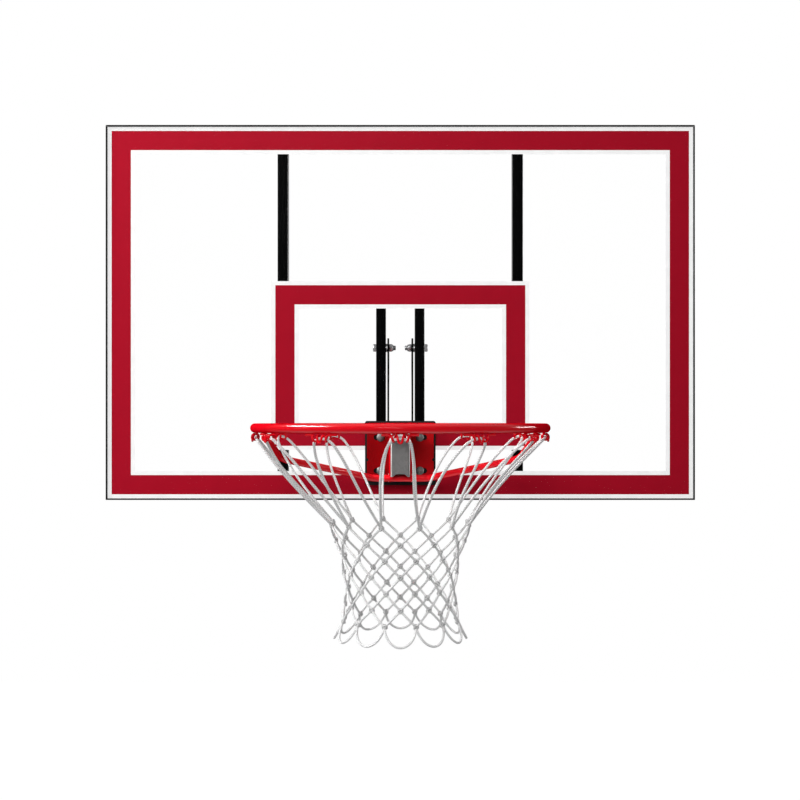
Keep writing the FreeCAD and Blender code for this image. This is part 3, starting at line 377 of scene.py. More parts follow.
def makeRubber():
    # moulded rubber: fine grain and a faint pale bloom
    look = {
        "grain": (tint(0.006, 0.006, 0.006), tint(0.014, 0.014, 0.015)),
        "grainScale": 1300.0,
        "bloom": tint(0.020, 0.0195, 0.019),
        "bloomShare": 0.3,
        "dullness": (0.62, 0.82),
        "bump": (0.25, 0.0003),
    }
    finish = Finish("gasketRubber", Specular_IOR_Level=0.08)
    grain = finish.noise(look["grainScale"], detail=4.0)
    bloom = finish.group("scuffs", Patches=25.0, Streaks=160.0, Spread=0.55)["Mask"]
    bloomed = finish.ranged(bloom, 0.0, look["bloomShare"])
    colour = finish.mixed(bloomed, finish.mixed(grain, *look["grain"]), look["bloom"])
    return finish.done(colour, (grain, *look["dullness"]), (grain, *look["bump"]))


def makeMottled(name, tones, clouds, grit, bump, dullness=None, **sockets):
    # two tones in slow clouds under a fine grit; the roughness follows the clouds where it is given
    finish = Finish(name, **sockets)
    tone = finish.noise(clouds)
    rough = dullness and (tone, *dullness)
    return finish.done(finish.mixed(tone, *tones), rough, (finish.noise(grit), *bump))


cordLook = {
    "along": 1.1, "around": 3.0, "creaseShadeBlue": 1.01, "soil": tint(0.55, 0.54, 0.52), "soilShare": 0.10,
    "bump": (0.55, 0.00035),
}


def makeCord(name, creaseShade, crown):
    # white braided polyester: the yarns' furrows are painted a little greyer than their crowns, a painted
    # shade in the creases
    look = cordLook
    finish = Finish(name, Roughness=0.72, Specular_IOR_Level=0.15)
    yarn = finish.group("braid", Along=look["along"], Around=look["around"])
    soil = finish.group("scuffs", Patches=22.0, Streaks=120.0, Spread=0.6)["Mask"]
    base = finish.mixed(yarn["Shade"], tint(creaseShade, creaseShade, look["creaseShadeBlue"] * creaseShade), grey(crown))
    soiled = finish.ranged(soil, 0.0, look["soilShare"])
    return finish.done(finish.mixed(soiled, base, look["soil"]), bump=(yarn["Height"], *look["bump"]))


# The CAD's own slots first, then finishes for single pieces
finishes = {
    "clear_panel": makeClearSheet(),
    "red_print": makeRedInk(),
    "white_print": makeWhiteInk(),
    "panel_tape": makeFoam(),
    "black_powder_coat": makeBlackPowder(),
    "red_powder_coat": makeRedPowder(
        "redPowder", tint(0.68, 0.0028, 0.0110), tint(0.60, 0.0020, 0.0085), upright=0.10, level=0.85
    ),
    "zinc_plate": makeZinc("zincPlate", tint(0.27, 0.27, 0.275), tint(0.19, 0.19, 0.195), grain=420.0),
    "gasket_rubber": makeRubber(),
    "white_nylon": makeMottled(
        "whiteNylon", (tint(0.72, 0.71, 0.67), tint(0.80, 0.79, 0.76)), clouds=320.0, grit=2200.0,
        bump=(0.06, 0.0002), Roughness=0.4,
    ),
    "spring_steel": makeMottled(
        "springSteel", (tint(0.09, 0.09, 0.095), tint(0.16, 0.155, 0.15)), clouds=150.0, grit=1800.0,
        bump=(0.12, 0.0002), dullness=(0.28, 0.46), Metallic=1.0,
    ),
    "net_cord": makeCord("netCord", creaseShade=0.48, crown=0.85),
    # the cover's zinc: a darker copy of the zinc plate, a painted shade, with a painted highlight along its
    # left bend
    "paintedShadeCoverZinc": makeZinc(
        "paintedShadeCoverZincFinish", tint(0.124, 0.122, 0.121), tint(0.104, 0.102, 0.101), grain=150.0,
        bend=(-0.0152, -0.0164, 0.42),
    ),
    # the base plate's red: a darker copy of the red powder, a painted shade, painted lighter towards the
    # right, a painted light where the cover shades it
    "paintedShadeRed": makeRedPowder(
        "paintedShadeRedPowder", tint(0.25, 0.0014, 0.0036), tint(0.46, 0.0050, 0.0080), upright=0.05, level=0.1,
        fade=0.05,
    ),
    # the brace's red: a lighter copy of the red powder, a painted light, painted darker on the left than on
    # the right, a painted shade
    "paintedLightBraceRed": makeRedPowder(
        "paintedLightBraceRedPowder", tint(0.74, 0.0080, 0.0170), tint(0.90, 0.0080, 0.0190), upright=0.10, level=0.6,
        fade=0.06,
    ),
    # the rim bolts' zinc: a darker copy, a painted shade for the ring's shadow over them
    "paintedShadeBoltZinc": makeZinc(
        "paintedShadeBoltZinc", tint(0.115, 0.110, 0.108), tint(0.075, 0.072, 0.070), grain=420.0, dullness=(0.50, 0.60)
    ),
    # the knots' cord: much greyer in its furrows than the strands' cord, a painted shade in the knots'
    # creases
    "paintedShadeKnotCord": makeCord("paintedShadeKnotCord", creaseShade=0.24, crown=0.70),
}
for nodeName in cadNodes:
    for slot in bpy.data.objects[nodeName].material_slots:
        slot.material = finishes[slot.material.name.split(".")[0]]
# the base plate takes the painted-shade red
for slot in bpy.data.objects["rim_base_plate"].material_slots:
    slot.material = finishes["paintedShadeRed"]
print("finishes made:", len(finishes))


# Surface helpers: every array of points is copies x stations x section points x 3
def unit(vectors):
    return vectors / np.linalg.norm(vectors, axis=-1, keepdims=True)


def parabola(start, corner, end, t):
    # leaves the start towards the corner and comes to the end from it
    return (1 - t) ** 2 * start + 2 * t * (1 - t) * corner + t ** 2 * end


def lengthAlong(path):
    # the distance run at each point of a path
    return np.concatenate([[0], np.cumsum(np.linalg.norm(np.diff(path, axis=0), axis=1))])


def evenSteps(path, count):
    # the same path with its points spread evenly by length
    length = lengthAlong(path)
    even = np.linspace(0, length[-1], count)
    return np.stack([np.interp(even, length, path[:, axis]) for axis in range(3)], -1)


def runningMean(path, reach):
    # each point becomes the mean of its neighbours within reach; the ends run on straight
    before = path[:1] + (path[:1] - path[1:reach + 1])[::-1]
    after = path[-1:] + (path[-1:] - path[-reach - 1:-1])[::-1]
    padded = np.concatenate([before, path, after])
    window = np.ones(2 * reach + 1) / (2 * reach + 1)
    return np.stack([np.convolve(padded[:, axis], window, "valid") for axis in range(3)], -1)


def smoothCurve(points, steps):
    # a curve of parabolas: each runs from the middle of one run to the middle of the next, bent by the corner
    middle = (points[..., :-1, :] + points[..., 1:, :]) / 2
    start, corner, end = middle[..., :-1, None, :], points[..., 1:-1, None, :], middle[..., 1:, None, :]
    bend = parabola(start, corner, end, np.linspace(0, 1, steps, endpoint=False)[:, None])
    bend = bend.reshape(*points.shape[:-2], -1, points.shape[-1])
    return np.concatenate([points[..., :1, :], bend, middle[..., -1:, :], points[..., -1:, :]], -2)


def bentRoute(points, radii, steps=14):
    # straight runs joined by parabolas, each of which leaves its two runs where an arc of its radius would
    route = [points[:1]]
    t = np.linspace(0, 1, steps)[:, None]
    for before, corner, after, radius in zip(points, points[1:], points[2:], radii):
        back, onward = unit(before - corner), unit(after - corner)
        reach = radius / math.tan(math.acos(back @ onward) / 2)
        route.append(parabola(corner + reach * back, corner, corner + reach * onward, t))
    return np.concatenate(route + [points[-1:]])


def mirrored(half):
    # half a route, and then its mirror image run back
    return np.concatenate([half, half[::-1] * (-1, 1, 1)])


def roundOutline(corners, radius, steps=4):
    # a closed outline whose corners become parabolas that start and end one radius from the corner
    corners = np.asarray(corners, float)
    back = unit(np.roll(corners, 1, axis=0) - corners)
    onward = unit(np.roll(corners, -1, axis=0) - corners)
    t = np.linspace(0, 1, steps)[None, :, None]
    start, end = (corners + radius * back)[:, None], (corners + radius * onward)[:, None]
    return parabola(start, corners[:, None], end, t).reshape(-1, 2)


def sweepRound(path, radius, sides, beside, loop=False):
    # a circle carried along each path: its side is square to the path and to the given direction, and its up
    # is square to both
    if loop:
        ahead = unit(np.roll(path, -1, axis=-2) - np.roll(path, 1, axis=-2))
    else:
        ahead = unit(np.gradient(path, axis=-2))
    side = unit(np.cross(np.broadcast_to(beside, ahead.shape), ahead))
    up = np.cross(ahead, side)
    turn = np.linspace(0, fullTurn, sides, endpoint=False)[:, None]
    circle = side[..., None, :] * np.cos(turn) + up[..., None, :] * np.sin(turn)
    return path[..., None, :] + np.asarray(radius)[..., None, None] * circle


def shellFaces(shape, loop, start):
    # quads between neighbouring stations and section points, and caps at open ends, counted from start
    copies, rows, cols = shape
    spans = rows if loop else rows - 1
    r, c = np.meshgrid(np.arange(spans), np.arange(cols), indexing="ij")
    corners = np.stack([np.stack(pair, -1) for pair in ((r, c), (r, c + 1), (r + 1, c + 1), (r + 1, c))], -2)
    quads = (corners[..., 0] % rows) * cols + corners[..., 1] % cols
    first = start + np.arange(copies)[:, None, None] * rows * cols
    faces = (quads.reshape(1, -1, 4) + first).reshape(-1, 4).tolist()
    marks = np.tile(corners.reshape(-1, 2), (copies, 1))
    if not loop:
        ring = np.arange(cols)
        for row, order in ((0, ring[::-1]), (rows - 1, ring)):
            faces += (row * cols + order + first[:, 0]).tolist()
            ends = np.stack([np.full(cols, row), order], -1)
            marks = np.concatenate([marks, np.tile(ends, (copies, 1))])
    return faces, marks


sharpEdge = math.radians(32.0)      # folds past this angle keep a crisp edge


def addPiece(name, shells, body, slotName, nodes, finish=None, cordWidth=None):
    # one mesh from closed shells, given as (points, loop); a cord also gets a map of u along and v around
    verts, faces, marks, first = [], [], [], 0
    for points, loop in shells:
        shellQuads, shellMarks = shellFaces(points.shape[:3], loop, first)
        faces += shellQuads
        verts.append(points.reshape(-1, 3))
        first += verts[-1].shape[0]
        if cordWidth:
            centre = points[0].mean(axis=1)
            along = lengthAlong(np.concatenate([centre, centre[:1]]) if loop else centre) / cordWidth
            marks.append(np.stack([along[shellMarks[:, 0]], shellMarks[:, 1] / points.shape[2]], -1))
    mesh = bpy.data.meshes.new(name)
    mesh.from_pydata(np.concatenate(verts).tolist(), [], faces)
    if cordWidth:
        layer = mesh.uv_layers.new(name="cordMap")
        layer.data.foreach_set("uv", np.concatenate(marks).astype(np.float32).ravel())
    work = bmesh.new()
    work.from_mesh(mesh)
    bmesh.ops.recalc_face_normals(work, faces=work.faces)
    work.to_mesh(mesh)
    work.free()
    mesh.polygons.foreach_set("use_smooth", np.ones(len(mesh.polygons), bool))
    mesh.set_sharp_from_angle(angle=sharpEdge)
    mesh.materials.append(finish or finishes[slotName])
    piece = addObject(name, mesh)
    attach(piece, body)
    if nodes:
        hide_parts(*nodes)
    return piece


boardFront = nodeBox("clear_panel")[0][1]
ringLow, ringHigh = nodeBox("ring")
ringCentre = (ringLow + ringHigh) / 2
ringRod = ringHigh[2] - ringLow[2]
ringRadius = (ringHigh[0] - ringLow[0] - ringRod) / 2


# Camera: square on, at about a standing player's distance, with its axis at the ring's level
cameraLook = {
    "distance": 2.73,       # from the panel's front
    "rise": 0.012,          # above the ring's level
    "lens": 64.80,
    "sensor": 36.0,
    "shift": (-0.0004, 0.02575),
}


def makeCamera():
    look = cameraLook
    data = bpy.data.cameras.new("playerView")
    data.lens, data.sensor_width = look["lens"], look["sensor"]
    data.shift_x, data.shift_y = look["shift"]
    camera = addObject("playerView", data)
    camera.location = (0.0, boardFront - look["distance"], ringCentre[2] + look["rise"])
    camera.rotation_euler = (math.radians(90), 0.0, 0.0)
    bpy.context.scene.camera = camera


makeCamera()

weldGap = 0.00005       # under the ring, to what is welded there
hookCount = 12
hookStep = fullTurn / hookCount
hookTurns = hookStep * np.arange(hookCount)[:, None]


def aboutRing(local, turns):
    # points given as (along the ring, radius, height), turned from the ring's front
    sideways, radius, height = np.moveaxis(np.asarray(local, float), -1, 0)
    x = radius * np.sin(turns) + sideways * np.cos(turns)
    y = -radius * np.cos(turns) + sideways * np.sin(turns)
    return ringCentre + np.stack([x, y, height + 0 * x], -1)


def underRing(width):
    # the level of a rod that is welded under the ring
    return -ringRod / 2 - width / 2 - weldGap


def outwardAt(path):
    # the direction away from the ring's axis at each point of a path
    return unit((path - ringCentre) * (1, 1, 0))


# Net: twelve top loops on the hooks, seven rows of knots, strands between them and twelve bottom loops
netLook = {
    "length": 0.344,
    "topCord": 0.0043,
    "meshCord": 0.0038,
    "seat": -0.0146,        # middle of the cord where it lies in the hook, below the ring's level
    "level": 0.013,         # half of the level stretch over the hook
    "spreadPower": 5,
    "bows": (0.005, 0.005, -0.008, -0.007, -0.006, 0.005, 0.005, 0.005, 0.005, 0.005, 0.005, 0.005),
    "legBows": (            # how far left and right legs hang sideways at half height; bows are outwards
        (0.0015, -0.011), (-0.0075, -0.0165), (0.002, -0.005), (-0.003, 0.001),
        (0.003, -0.002), (0.012, 0.005), (0.006, -0.001), (0.002, -0.003),
        (-0.002, 0.000), (0.001, -0.004), (-0.003, 0.003), (0.003, -0.006),
    ),
    "rowRadiusShares": (0.486, 0.444, 0.400, 0.389, 0.372, 0.381, 0.402),
    "rowDropShares": (0.452, 0.532, 0.608, 0.683, 0.759, 0.834, 0.907),
    "hemRadiusShare": 0.456,
    "slack": 0.0012,        # how far a strand bows out between its knots
    "knotWidth": 0.0106,
    "knotDepth": 0.0070,
    "knotTilt": 0.35,       # leans the section's own direction, so that the turn is never in line with it
    "topSides": 12,
    "meshSides": 8,
    "legSteps": 40,
    "levelSteps": 9,
    "loopSteps": 120,
    "smoothing": 4,
    "strandSteps": 9,
    "hemSteps": 25,
    "knotSteps": 54,
}


def makeNet():
    look = netLook
    radii = np.array(look["rowRadiusShares"]) * ringRadius
    heights = -np.array(look["rowDropShares"]) * look["length"]
    half = hookStep / 2
    rowStarts = [half if row % 2 == 0 else 0.0 for row in range(len(radii))]
    meshRadius, meshSides = look["meshCord"] / 2, look["meshSides"]

    def strung(local, radius, sides):
        # a cord along each of twelve copies of a path
        paths = aboutRing(local, hookTurns)
        return sweepRound(paths, radius, sides, outwardAt(paths)), False

    # A leg spreads fast and then runs down: its sideways place is one less a falling power of what is left
    s = np.linspace(0, 1, look["legSteps"])
    swing = np.sin(math.pi * s)
    endSide, endRadius = radii[0] * math.sin(half), radii[0] * math.cos(half)
    spread = look["level"] + (endSide - look["level"]) * (1 - (1 - s) ** look["spreadPower"])
    height = look["seat"] + (heights[0] - look["seat"]) * s
    level = np.linspace(-1, 1, look["levelSteps"])[1:-1, None] * (look["level"], 0, 0)
    level += (0, ringRadius, look["seat"])
    loops = []
    for bow, (leftBow, rightBow) in zip(look["bows"], look["legBows"]):
        side = spread + bow / 2 * swing
        radius = ringRadius + (endRadius - ringRadius) * s + bow * swing
        left = np.stack([-side + leftBow * swing, radius, height], -1)
        right = np.stack([side + rightBow * swing, radius, height], -1)
        loop = np.concatenate([left[::-1], level, right])
        loops.append(runningMean(evenSteps(loop, look["loopSteps"]), look["smoothing"]))
    shells = [strung(np.array(loops), look["topCord"] / 2, look["topSides"])]
    addPiece("netTopLoops", shells, "rim", "net_cord", ["net"], cordWidth=look["topCord"])

    # Strands run straight from knot to knot with a slight outward bow, rows turned half a step each time
    shells = []
    s = np.linspace(0, 1, look["strandSteps"])
    for row in range(len(radii) - 1):
        for way in (-1, 1):
            turn = rowStarts[row] + way * half * s
            r = radii[row] + (radii[row + 1] - radii[row]) * s + look["slack"] * np.sin(math.pi * s)
            z = heights[row] + (heights[row + 1] - heights[row]) * s
            strand = np.stack([r * np.sin(turn), r * np.cos(turn), z], -1)
            shells.append(strung(strand, meshRadius, meshSides))

    # The hem: half an ellipse from knot to knot that flares outwards
    a = np.linspace(0, math.pi, look["hemSteps"])
    wide, deep = radii[-1] * math.sin(half), radii[-1] * math.cos(half)
    drop = look["length"] + heights[-1] - meshRadius
    flare = look["hemRadiusShare"] * ringRadius - deep
    hem = np.stack([-wide * np.cos(a), deep + flare * np.sin(a), heights[-1] - drop * np.sin(a)], -1)
    shells.append(strung(hem, meshRadius, meshSides))
    addPiece("netStrands", shells, "rim", "net_cord", ["net"], cordWidth=look["meshCord"])

    # A knot is a three-lobed overhand turn pulled tight, lying against the net
    t = np.linspace(0, fullTurn, look["knotSteps"], endpoint=False)
    reach = (look["knotWidth"] / 2 - meshRadius) / 3
    lift = look["knotDepth"] / 2 - meshRadius
    ring = (2 + np.cos(3 * t)) * reach
    across, over, out = ring * np.cos(2 * t), ring * np.sin(2 * t), lift * np.sin(3 * t)
    shells = []
    for rowStart, r, z in zip(rowStarts, radii, heights):
        paths = aboutRing(np.stack([across, r + out, z + over], -1), hookTurns + rowStart)
        beside = outwardAt(paths) + look["knotTilt"] * upward
        shells.append((sweepRound(paths, meshRadius, meshSides, beside, loop=True), True))
    # knots take the greyer cord, a painted shade
    knotShadeFinish = finishes["paintedShadeKnotCord"]
    addPiece("netKnots", shells, "rim", "net_cord", ["net"], knotShadeFinish, cordWidth=look["meshCord"])


makeNet()
print("net made")


# Hooks: bent wires under the ring, each drawn as half a route from its foot to its middle and mirrored
hookLook = {
    "wire": 0.0036,
    "halfWidth": 0.0135,
    "depth": 0.0050,
    "drop": 0.0130,
    "shares": (             # of half the width, the depth and the drop
        (2.05, 0.0, 0.0), (1.02, 0.0, 0.0), (0.93, 0.85, 0.15), (0.84, 1.0, 0.55),
        (0.76, 0.6, 0.75), (0.69, -0.5, 0.75), (0.61, -1.0, 0.5), (0.52, -0.9, 0.12),
        (0.42, -0.2, 0.03), (0.34, 0.75, 0.1), (0.26, 1.0, 0.5), (0.16, 1.0, 0.9),
    ),
    "tilt": 0.2,            # leans the section's own direction, so that the wire is never in line with it
    "sides": 10,
    "bendSteps": 6,
}


def makeHooks():
    look = hookLook
    sizes = (look["halfWidth"], look["depth"], -look["drop"])
    half = np.array(look["shares"]) * sizes + (0.0, ringRadius, underRing(look["wire"]))
    paths = aboutRing(smoothCurve(mirrored(half), look["bendSteps"]), hookTurns)
    shell = sweepRound(paths, look["wire"] / 2, look["sides"], upward + look["tilt"] * outwardAt(paths))
    addPiece("netHooks", [(shell, False)], "rim", "red_powder_coat", ["net_hooks"])


ringLook = {"sides": 32, "steps": 216}


def makeRing():
    # a circle of rod carried round a larger circle
    turn = np.linspace(0, fullTurn, ringLook["steps"], endpoint=False)
    path = aboutRing((0.0, ringRadius, 0.0), turn)[None]
    shell = sweepRound(path, ringRod / 2, ringLook["sides"], outwardAt(path), loop=True)
    addPiece("ringRod", [(shell, True)], "rim", "red_powder_coat", ["ring"])


# Brace: one bent rod from under the ring, back and down, and across under the bracket
braceLook = {
    "rod": 0.0126,
    "solidRod": 0.0110,
    "meetsRing": math.radians(106),         # from the ring's front
    "bend": (0.2108, -0.1902, -0.0552),     # from the middle of the panel's front at the ring's level
    "bendRadius": 0.060,
    "flatWidth": 0.100,
    "flatRise": -0.0003,
    "flatRadius": 0.020,
    "sides": 24,
    "steps": 240,
}


def makeBrace():
    look = braceLook
    low, high = nodeBox("brace")
    rod = look["rod"]
    start = aboutRing((0.0, ringRadius, underRing(rod)), look["meetsRing"])
    bend = np.array([0.0, boardFront, ringCentre[2]]) + look["bend"]
    flat = (look["flatWidth"] / 2, high[1] - look["solidRod"] / 2, low[2] + rod / 2 + look["flatRise"])
    points = mirrored(np.array([start, bend, flat]))
    radii = (look["bendRadius"], look["flatRadius"], look["flatRadius"], look["bendRadius"])
    path = evenSteps(bentRoute(points, radii), look["steps"])[None]
    shell = sweepRound(path, rod / 2, look["sides"], upward)
    # the brace takes the lighter red that is painted darker on the left
    addPiece("braceRod", [(shell, False)], "rim", "red_powder_coat", ["brace"], finishes["paintedLightBraceRed"])


makeHooks()
makeRing()
makeBrace()
print("ring, hooks and brace made")


# Panel: a flat slab with bevelled edges, four rectangles deep; the prints behind it are flat frames
sheetLook = {"bevel": 0.0006, "printGap": 0.00005, "stripe": 0.0366}
rectangleSigns = np.array([(-1.0, -1.0), (1.0, -1.0), (1.0, 1.0), (-1.0, 1.0)])


def rectangles(low, high, steps):
    # an upright rectangle for each step, given as how far inside a box's edge it lies and its place in depth
    middle, half = (low + high)[[0, 2]] / 2, (high - low)[[0, 2]] / 2
    inset, depth = np.array(steps).T
    flat = middle + rectangleSigns * (half - inset[:, None, None])
    return np.stack([flat[..., 0], np.tile(depth[:, None], len(rectangleSigns)), flat[..., 1]], -1)


def makePanel():
    low, high = nodeBox("clear_panel")
    front, back, bevel = low[1], high[1] - sheetLook["printGap"], sheetLook["bevel"]
    steps = ((bevel, front), (0.0, front + bevel), (0.0, back - bevel), (bevel, back))
    shell = rectangles(low, high, steps)[None]
    addPiece("panelSheet", [(shell, False)], "board", "clear_panel", ["clear_panel"])


def flatFrame(low, high, outer, inner):
    # a four-sided section carried round the mitred corners of a box, between two distances from its edge
    steps = ((outer, low[1]), (inner, low[1]), (inner, high[1]), (outer, high[1]))
    return rectangles(low, high, steps).swapaxes(0, 1)[None], True


def makePrints():
    # each band runs between two lines of the same width, which its node's box gives
    for name in ("border", "target"):
        low, high = nodeBox(name + "_pinstripes")
        line = nodeBox(name + "_band")[0][0] - low[0]
        inside = line + sheetLook["stripe"]
        band = [flatFrame(low, high, line, inside)]
        lines = [flatFrame(low, high, 0.0, line), flatFrame(low, high, inside, inside + line)]
        addPiece(name + "BandInk", band, "board", "red_print", [name + "_band"])
        addPiece(name + "LinesInk", lines, "board", "white_print", [name + "_pinstripes"])


makePanel()
makePrints()
print("panel and prints made")


# Frame rails: a rolled channel with a lip, mitred at 45 degrees, its folds slightly rounded
railLook = {"lip": 0.0026, "wall": 0.0020, "front": 0.0059, "fold": 0.0008, "seam": 0.00012}


def makeRails():
    look = railLook
    low = np.minimum(nodeBox("left_rail")[0], nodeBox("bottom_rail")[0])
    high = np.maximum(nodeBox("right_rail")[1], nodeBox("top_rail")[1])
    depth = high[1] - low[1]
    width = nodeBox("bottom_rail")[1][2] - low[2]
    lip, wall, front = look["lip"], look["wall"], look["front"]
    outline = [
        (0, 0), (depth, 0), (depth, lip), (front + wall, lip), (front + wall, width - wall),
        (depth, width - wall), (depth, width), (front, width), (front, lip), (0, lip),
    ]
    back, inset = roundOutline(outline, look["fold"]).T
    ends = np.array([-1.0, 1.0])[:, None]
    for side, across, edge, inward in (
        ("bottom", 0, low[2], 1), ("top", 0, high[2], -1), ("left", 2, low[0], 1), ("right", 2, high[0], -1),
    ):
        middle = (low[across] + high[across]) / 2
        reach = (high[across] - low[across]) / 2 - inset - look["seam"]
        points = np.zeros((1, 2, len(inset), 3))
        points[0, :, :, across] = middle + ends * reach
        points[0, :, :, 1] = low[1] + back
        points[0, :, :, 2 - across] = edge + inward * inset
        addPiece(side + "RailSection", [(points, False)], "board", "black_powder_coat", [side + "_rail"])


# Square tubes: an outer and an inner outline with rounded corners, joined at both ends
tubeLook = {"wall": 0.0016, "outerCorner": 0.0026, "innerCorner": 0.0011, "cornerSteps": 6}
tubeRuns = {                # the axis along which each tube runs
    "left_outer_upright": 2, "right_outer_upright": 2, "left_inner_upright": 2, "right_inner_upright": 2,
    "cross_rail": 0,
}


def makeTubes():
    look = tubeLook
    for name, axis in tubeRuns.items():
        low, high = nodeBox(name)
        flat = [i for i in range(3) if i != axis]
        loops = []
        for inset, corner in ((0.0, look["outerCorner"]), (look["wall"], look["innerCorner"])):
            (a, b), (c, d) = low[flat] + inset, high[flat] - inset
            loops.append(roundOutline([(a, b), (c, b), (c, d), (a, d)], corner, look["cornerSteps"]))
        points = np.zeros((1, 4, len(loops[0]), 3))
        for row, (outline, end) in enumerate(((0, low), (0, high), (1, high), (1, low))):
            points[0, row][:, flat] = loops[outline]
            points[0, row, :, axis] = end[axis]
        words = name.split("_")
        piece = words[0] + "".join(word.title() for word in words[1:]) + "Tube"
        addPiece(piece, [(points, True)], "board", "black_powder_coat", [name])


makeRails()
makeTubes()
print("frame made")


# Turned pieces: a profile of (along, radius) carried round an axis; a hexagon is where flats cut it, and a
# thread is a wave that runs once round for each pitch
def turned(profile, origin, axis, sides=48, flats=None, thread=None):
    along, radius = np.array(profile).T
    turn = np.linspace(0, fullTurn, sides, endpoint=False)
    r = np.broadcast_to(radius[:, None], (len(radius), sides)).copy()
    if flats is not None:
        width, rows = flats
        sixth = fullTurn / 6
        hexRadius = width / 2 / np.cos(turn % sixth - sixth / 2)
        r[rows] = np.minimum(r[rows], hexRadius)
    if thread is not None:
        depth, pitch, rows = thread
        wave = (along[rows][:, None] / pitch - turn / fullTurn) % 1.0
        r[rows] -= depth * np.abs(2 * wave - 1)
    axis = unit(np.asarray(axis, float))
    side = unit(np.cross(axis, upward))
    up = np.cross(axis, side)
    circle = side * np.cos(turn)[:, None] + up * np.sin(turn)[:, None]
    return (np.asarray(origin) + along[:, None, None] * axis + r[..., None] * circle)[None]


boltLook = {
    "radius": 0.00475,
    "threadDepth": 0.00055,
    "threadPitch": 0.0014,
    "threadLength": 0.0150,
    "threadRows": 6,            # rows of points for each turn
    "threadStart": 0.0002,      # from the plain shank to the first row
    "endLength": 0.0006,        # of the chamfer at the end of the thread
    "endDepth": 0.0011,
    "pole": 0.0004,             # radius of the small flat that closes an end
    "domeRadius": 0.0081,
    "domeHeight": 0.0048,
    "domeRim": 0.0009,
    "domeSteps": 10,
    "tail": 0.0044,             # thread that shows past the nut
}
hexLook = {                     # radii are shares of the width across the flats
    "width": 0.0143,
    "past": 0.0001,             # the round bar reaches this far past the corners that the flats leave
    "headHeight": 0.0062,
    "headTop": ((0.0, 0.46), (0.0004, 0.485)),
    "headChamfer": 0.0016,
    "headSeat": 0.0005,
    "headSeatShare": 0.47,
    "nutHeight": 0.0082,
    "nutSeatShare": 0.47,
    "nutChamfer": (0.0008, 0.0012),
    "nutCornerShare": 0.975,    # of the corner's radius, at the first of these heights
    "nutTop": 0.0009,
    "nutTopShare": 0.48,
    "collarHeight": 0.0024,
    "collarShare": 0.455,
    "collarRound": ((0.0010, 0.0), (0.0003, 0.0007), (0.0, 0.0013)),    # down from the top, in from the side
}
hexWidth = hexLook["width"]
hexCorner = hexWidth / math.sqrt(3)
hexBar = hexCorner + hexLook["past"]


def boltShank(start, length):
    # plain shank, then a threaded end with a small chamfer; the thread rows are fine enough to show its turns
    look = boltLook
    radius, end, pitch = look["radius"], start + length, look["threadPitch"]
    rows = np.arange(end - look["threadLength"], end - look["endLength"], pitch / look["threadRows"])
    profile = [(start, radius), (rows[0] - look["threadStart"], radius)]
    profile += [(row, radius) for row in rows]
    profile += [(end, radius - look["endDepth"]), (end, look["pole"])]
    return profile, (look["threadDepth"], pitch, slice(-2 - len(rows), -2))


def makeRimBolts():
    # domed heads in front of the base plate: a quarter of an ellipse, and a short upright rim
    look = boltLook
    low, high = nodeBox("rim_bolts")
    radius, height = look["domeRadius"], look["domeHeight"]
    columns, levels = (low[0] + radius, high[0] - radius), (low[2] + radius, high[2] - radius)
    places = [(x, z) for x in columns for z in levels]
    swell = np.linspace(0, math.pi / 2, look["domeSteps"])[1:]
    dome = [(0.0, look["pole"])]
    dome += [((height - look["domeRim"]) * (1 - math.cos(a)), radius * math.sin(a)) for a in swell]
    dome += [(height, radius)]
    shank, thread = boltShank(height, high[1] - low[1] - height)
    shells = [(turned(dome + shank, (x, low[1], z), (0, 1, 0), thread=thread), False) for x, z in places]
    # the domes take the darker zinc, a painted shade
    addPiece("rimBoltsDomed", shells, "board", "zinc_plate", ["rim_bolts"], finishes["paintedShadeBoltZinc"])
    return places


def inwardPairs(name, profile, y, heights, loop, **cuts):
    # a turned piece from the left and from the right of a node's box towards its middle, at each height
    low, high = nodeBox(name)
    starts = ((low[0], 1), (high[0], -1))
    return [(turned(profile, (x, y, z), (way, 0, 0), **cuts), loop) for x, way in starts for z in heights]


def makeMountBolts():
    # hexagon heads outside the uprights, aimed inwards
    look = hexLook
    low, high = nodeBox("mount_bolts")
    nutLow, nutHigh = nodeBox("mount_lock_nuts")
    y = (low[1] + high[1]) / 2
    heights = (nutLow[2] + hexCorner, nutHigh[2] - hexCorner)
    height, seat = look["headHeight"], hexWidth * look["headSeatShare"]
    length = high[0] - (nutHigh[0] - look["nutHeight"] - boltLook["tail"]) - height
    head = [(0.0, boltLook["pole"])]
    head += [(along, hexWidth * share) for along, share in look["headTop"]]
    head += [(look["headChamfer"], hexBar), (height - look["headSeat"], hexBar)]
    flats = (hexWidth, slice(1, len(head)))
    head += [(height - look["headSeat"], seat), (height, seat)]
    shank, thread = boltShank(height, length)
    shells = inwardPairs("mount_bolts", head + shank, y, heights, False, flats=flats, thread=thread)
    addPiece("mountBoltsHex", shells, "board", "zinc_plate", ["mount_bolts"])
    return y, heights


def nutProfile():
    # a hexagon body with chamfered corners and a round collar that holds the locking insert
    look = hexLook
    bore, top = boltLook["radius"], look["nutHeight"]
    body, collar = top - look["collarHeight"], hexWidth * look["collarShare"]
    near, full = look["nutChamfer"]
    profile = [
        (0.0, bore), (0.0, hexWidth * look["nutSeatShare"]), (near, hexCorner * look["nutCornerShare"]),
        (full, hexBar), (body - look["nutTop"], hexBar), (body, hexWidth * look["nutTopShare"]),
    ]
    flats = (hexWidth, slice(1, len(profile)))
    profile += [(body, collar)]
    profile += [(top - down, collar - into) for down, into in look["collarRound"]]
    profile += [(top, bore)]
    return profile, flats


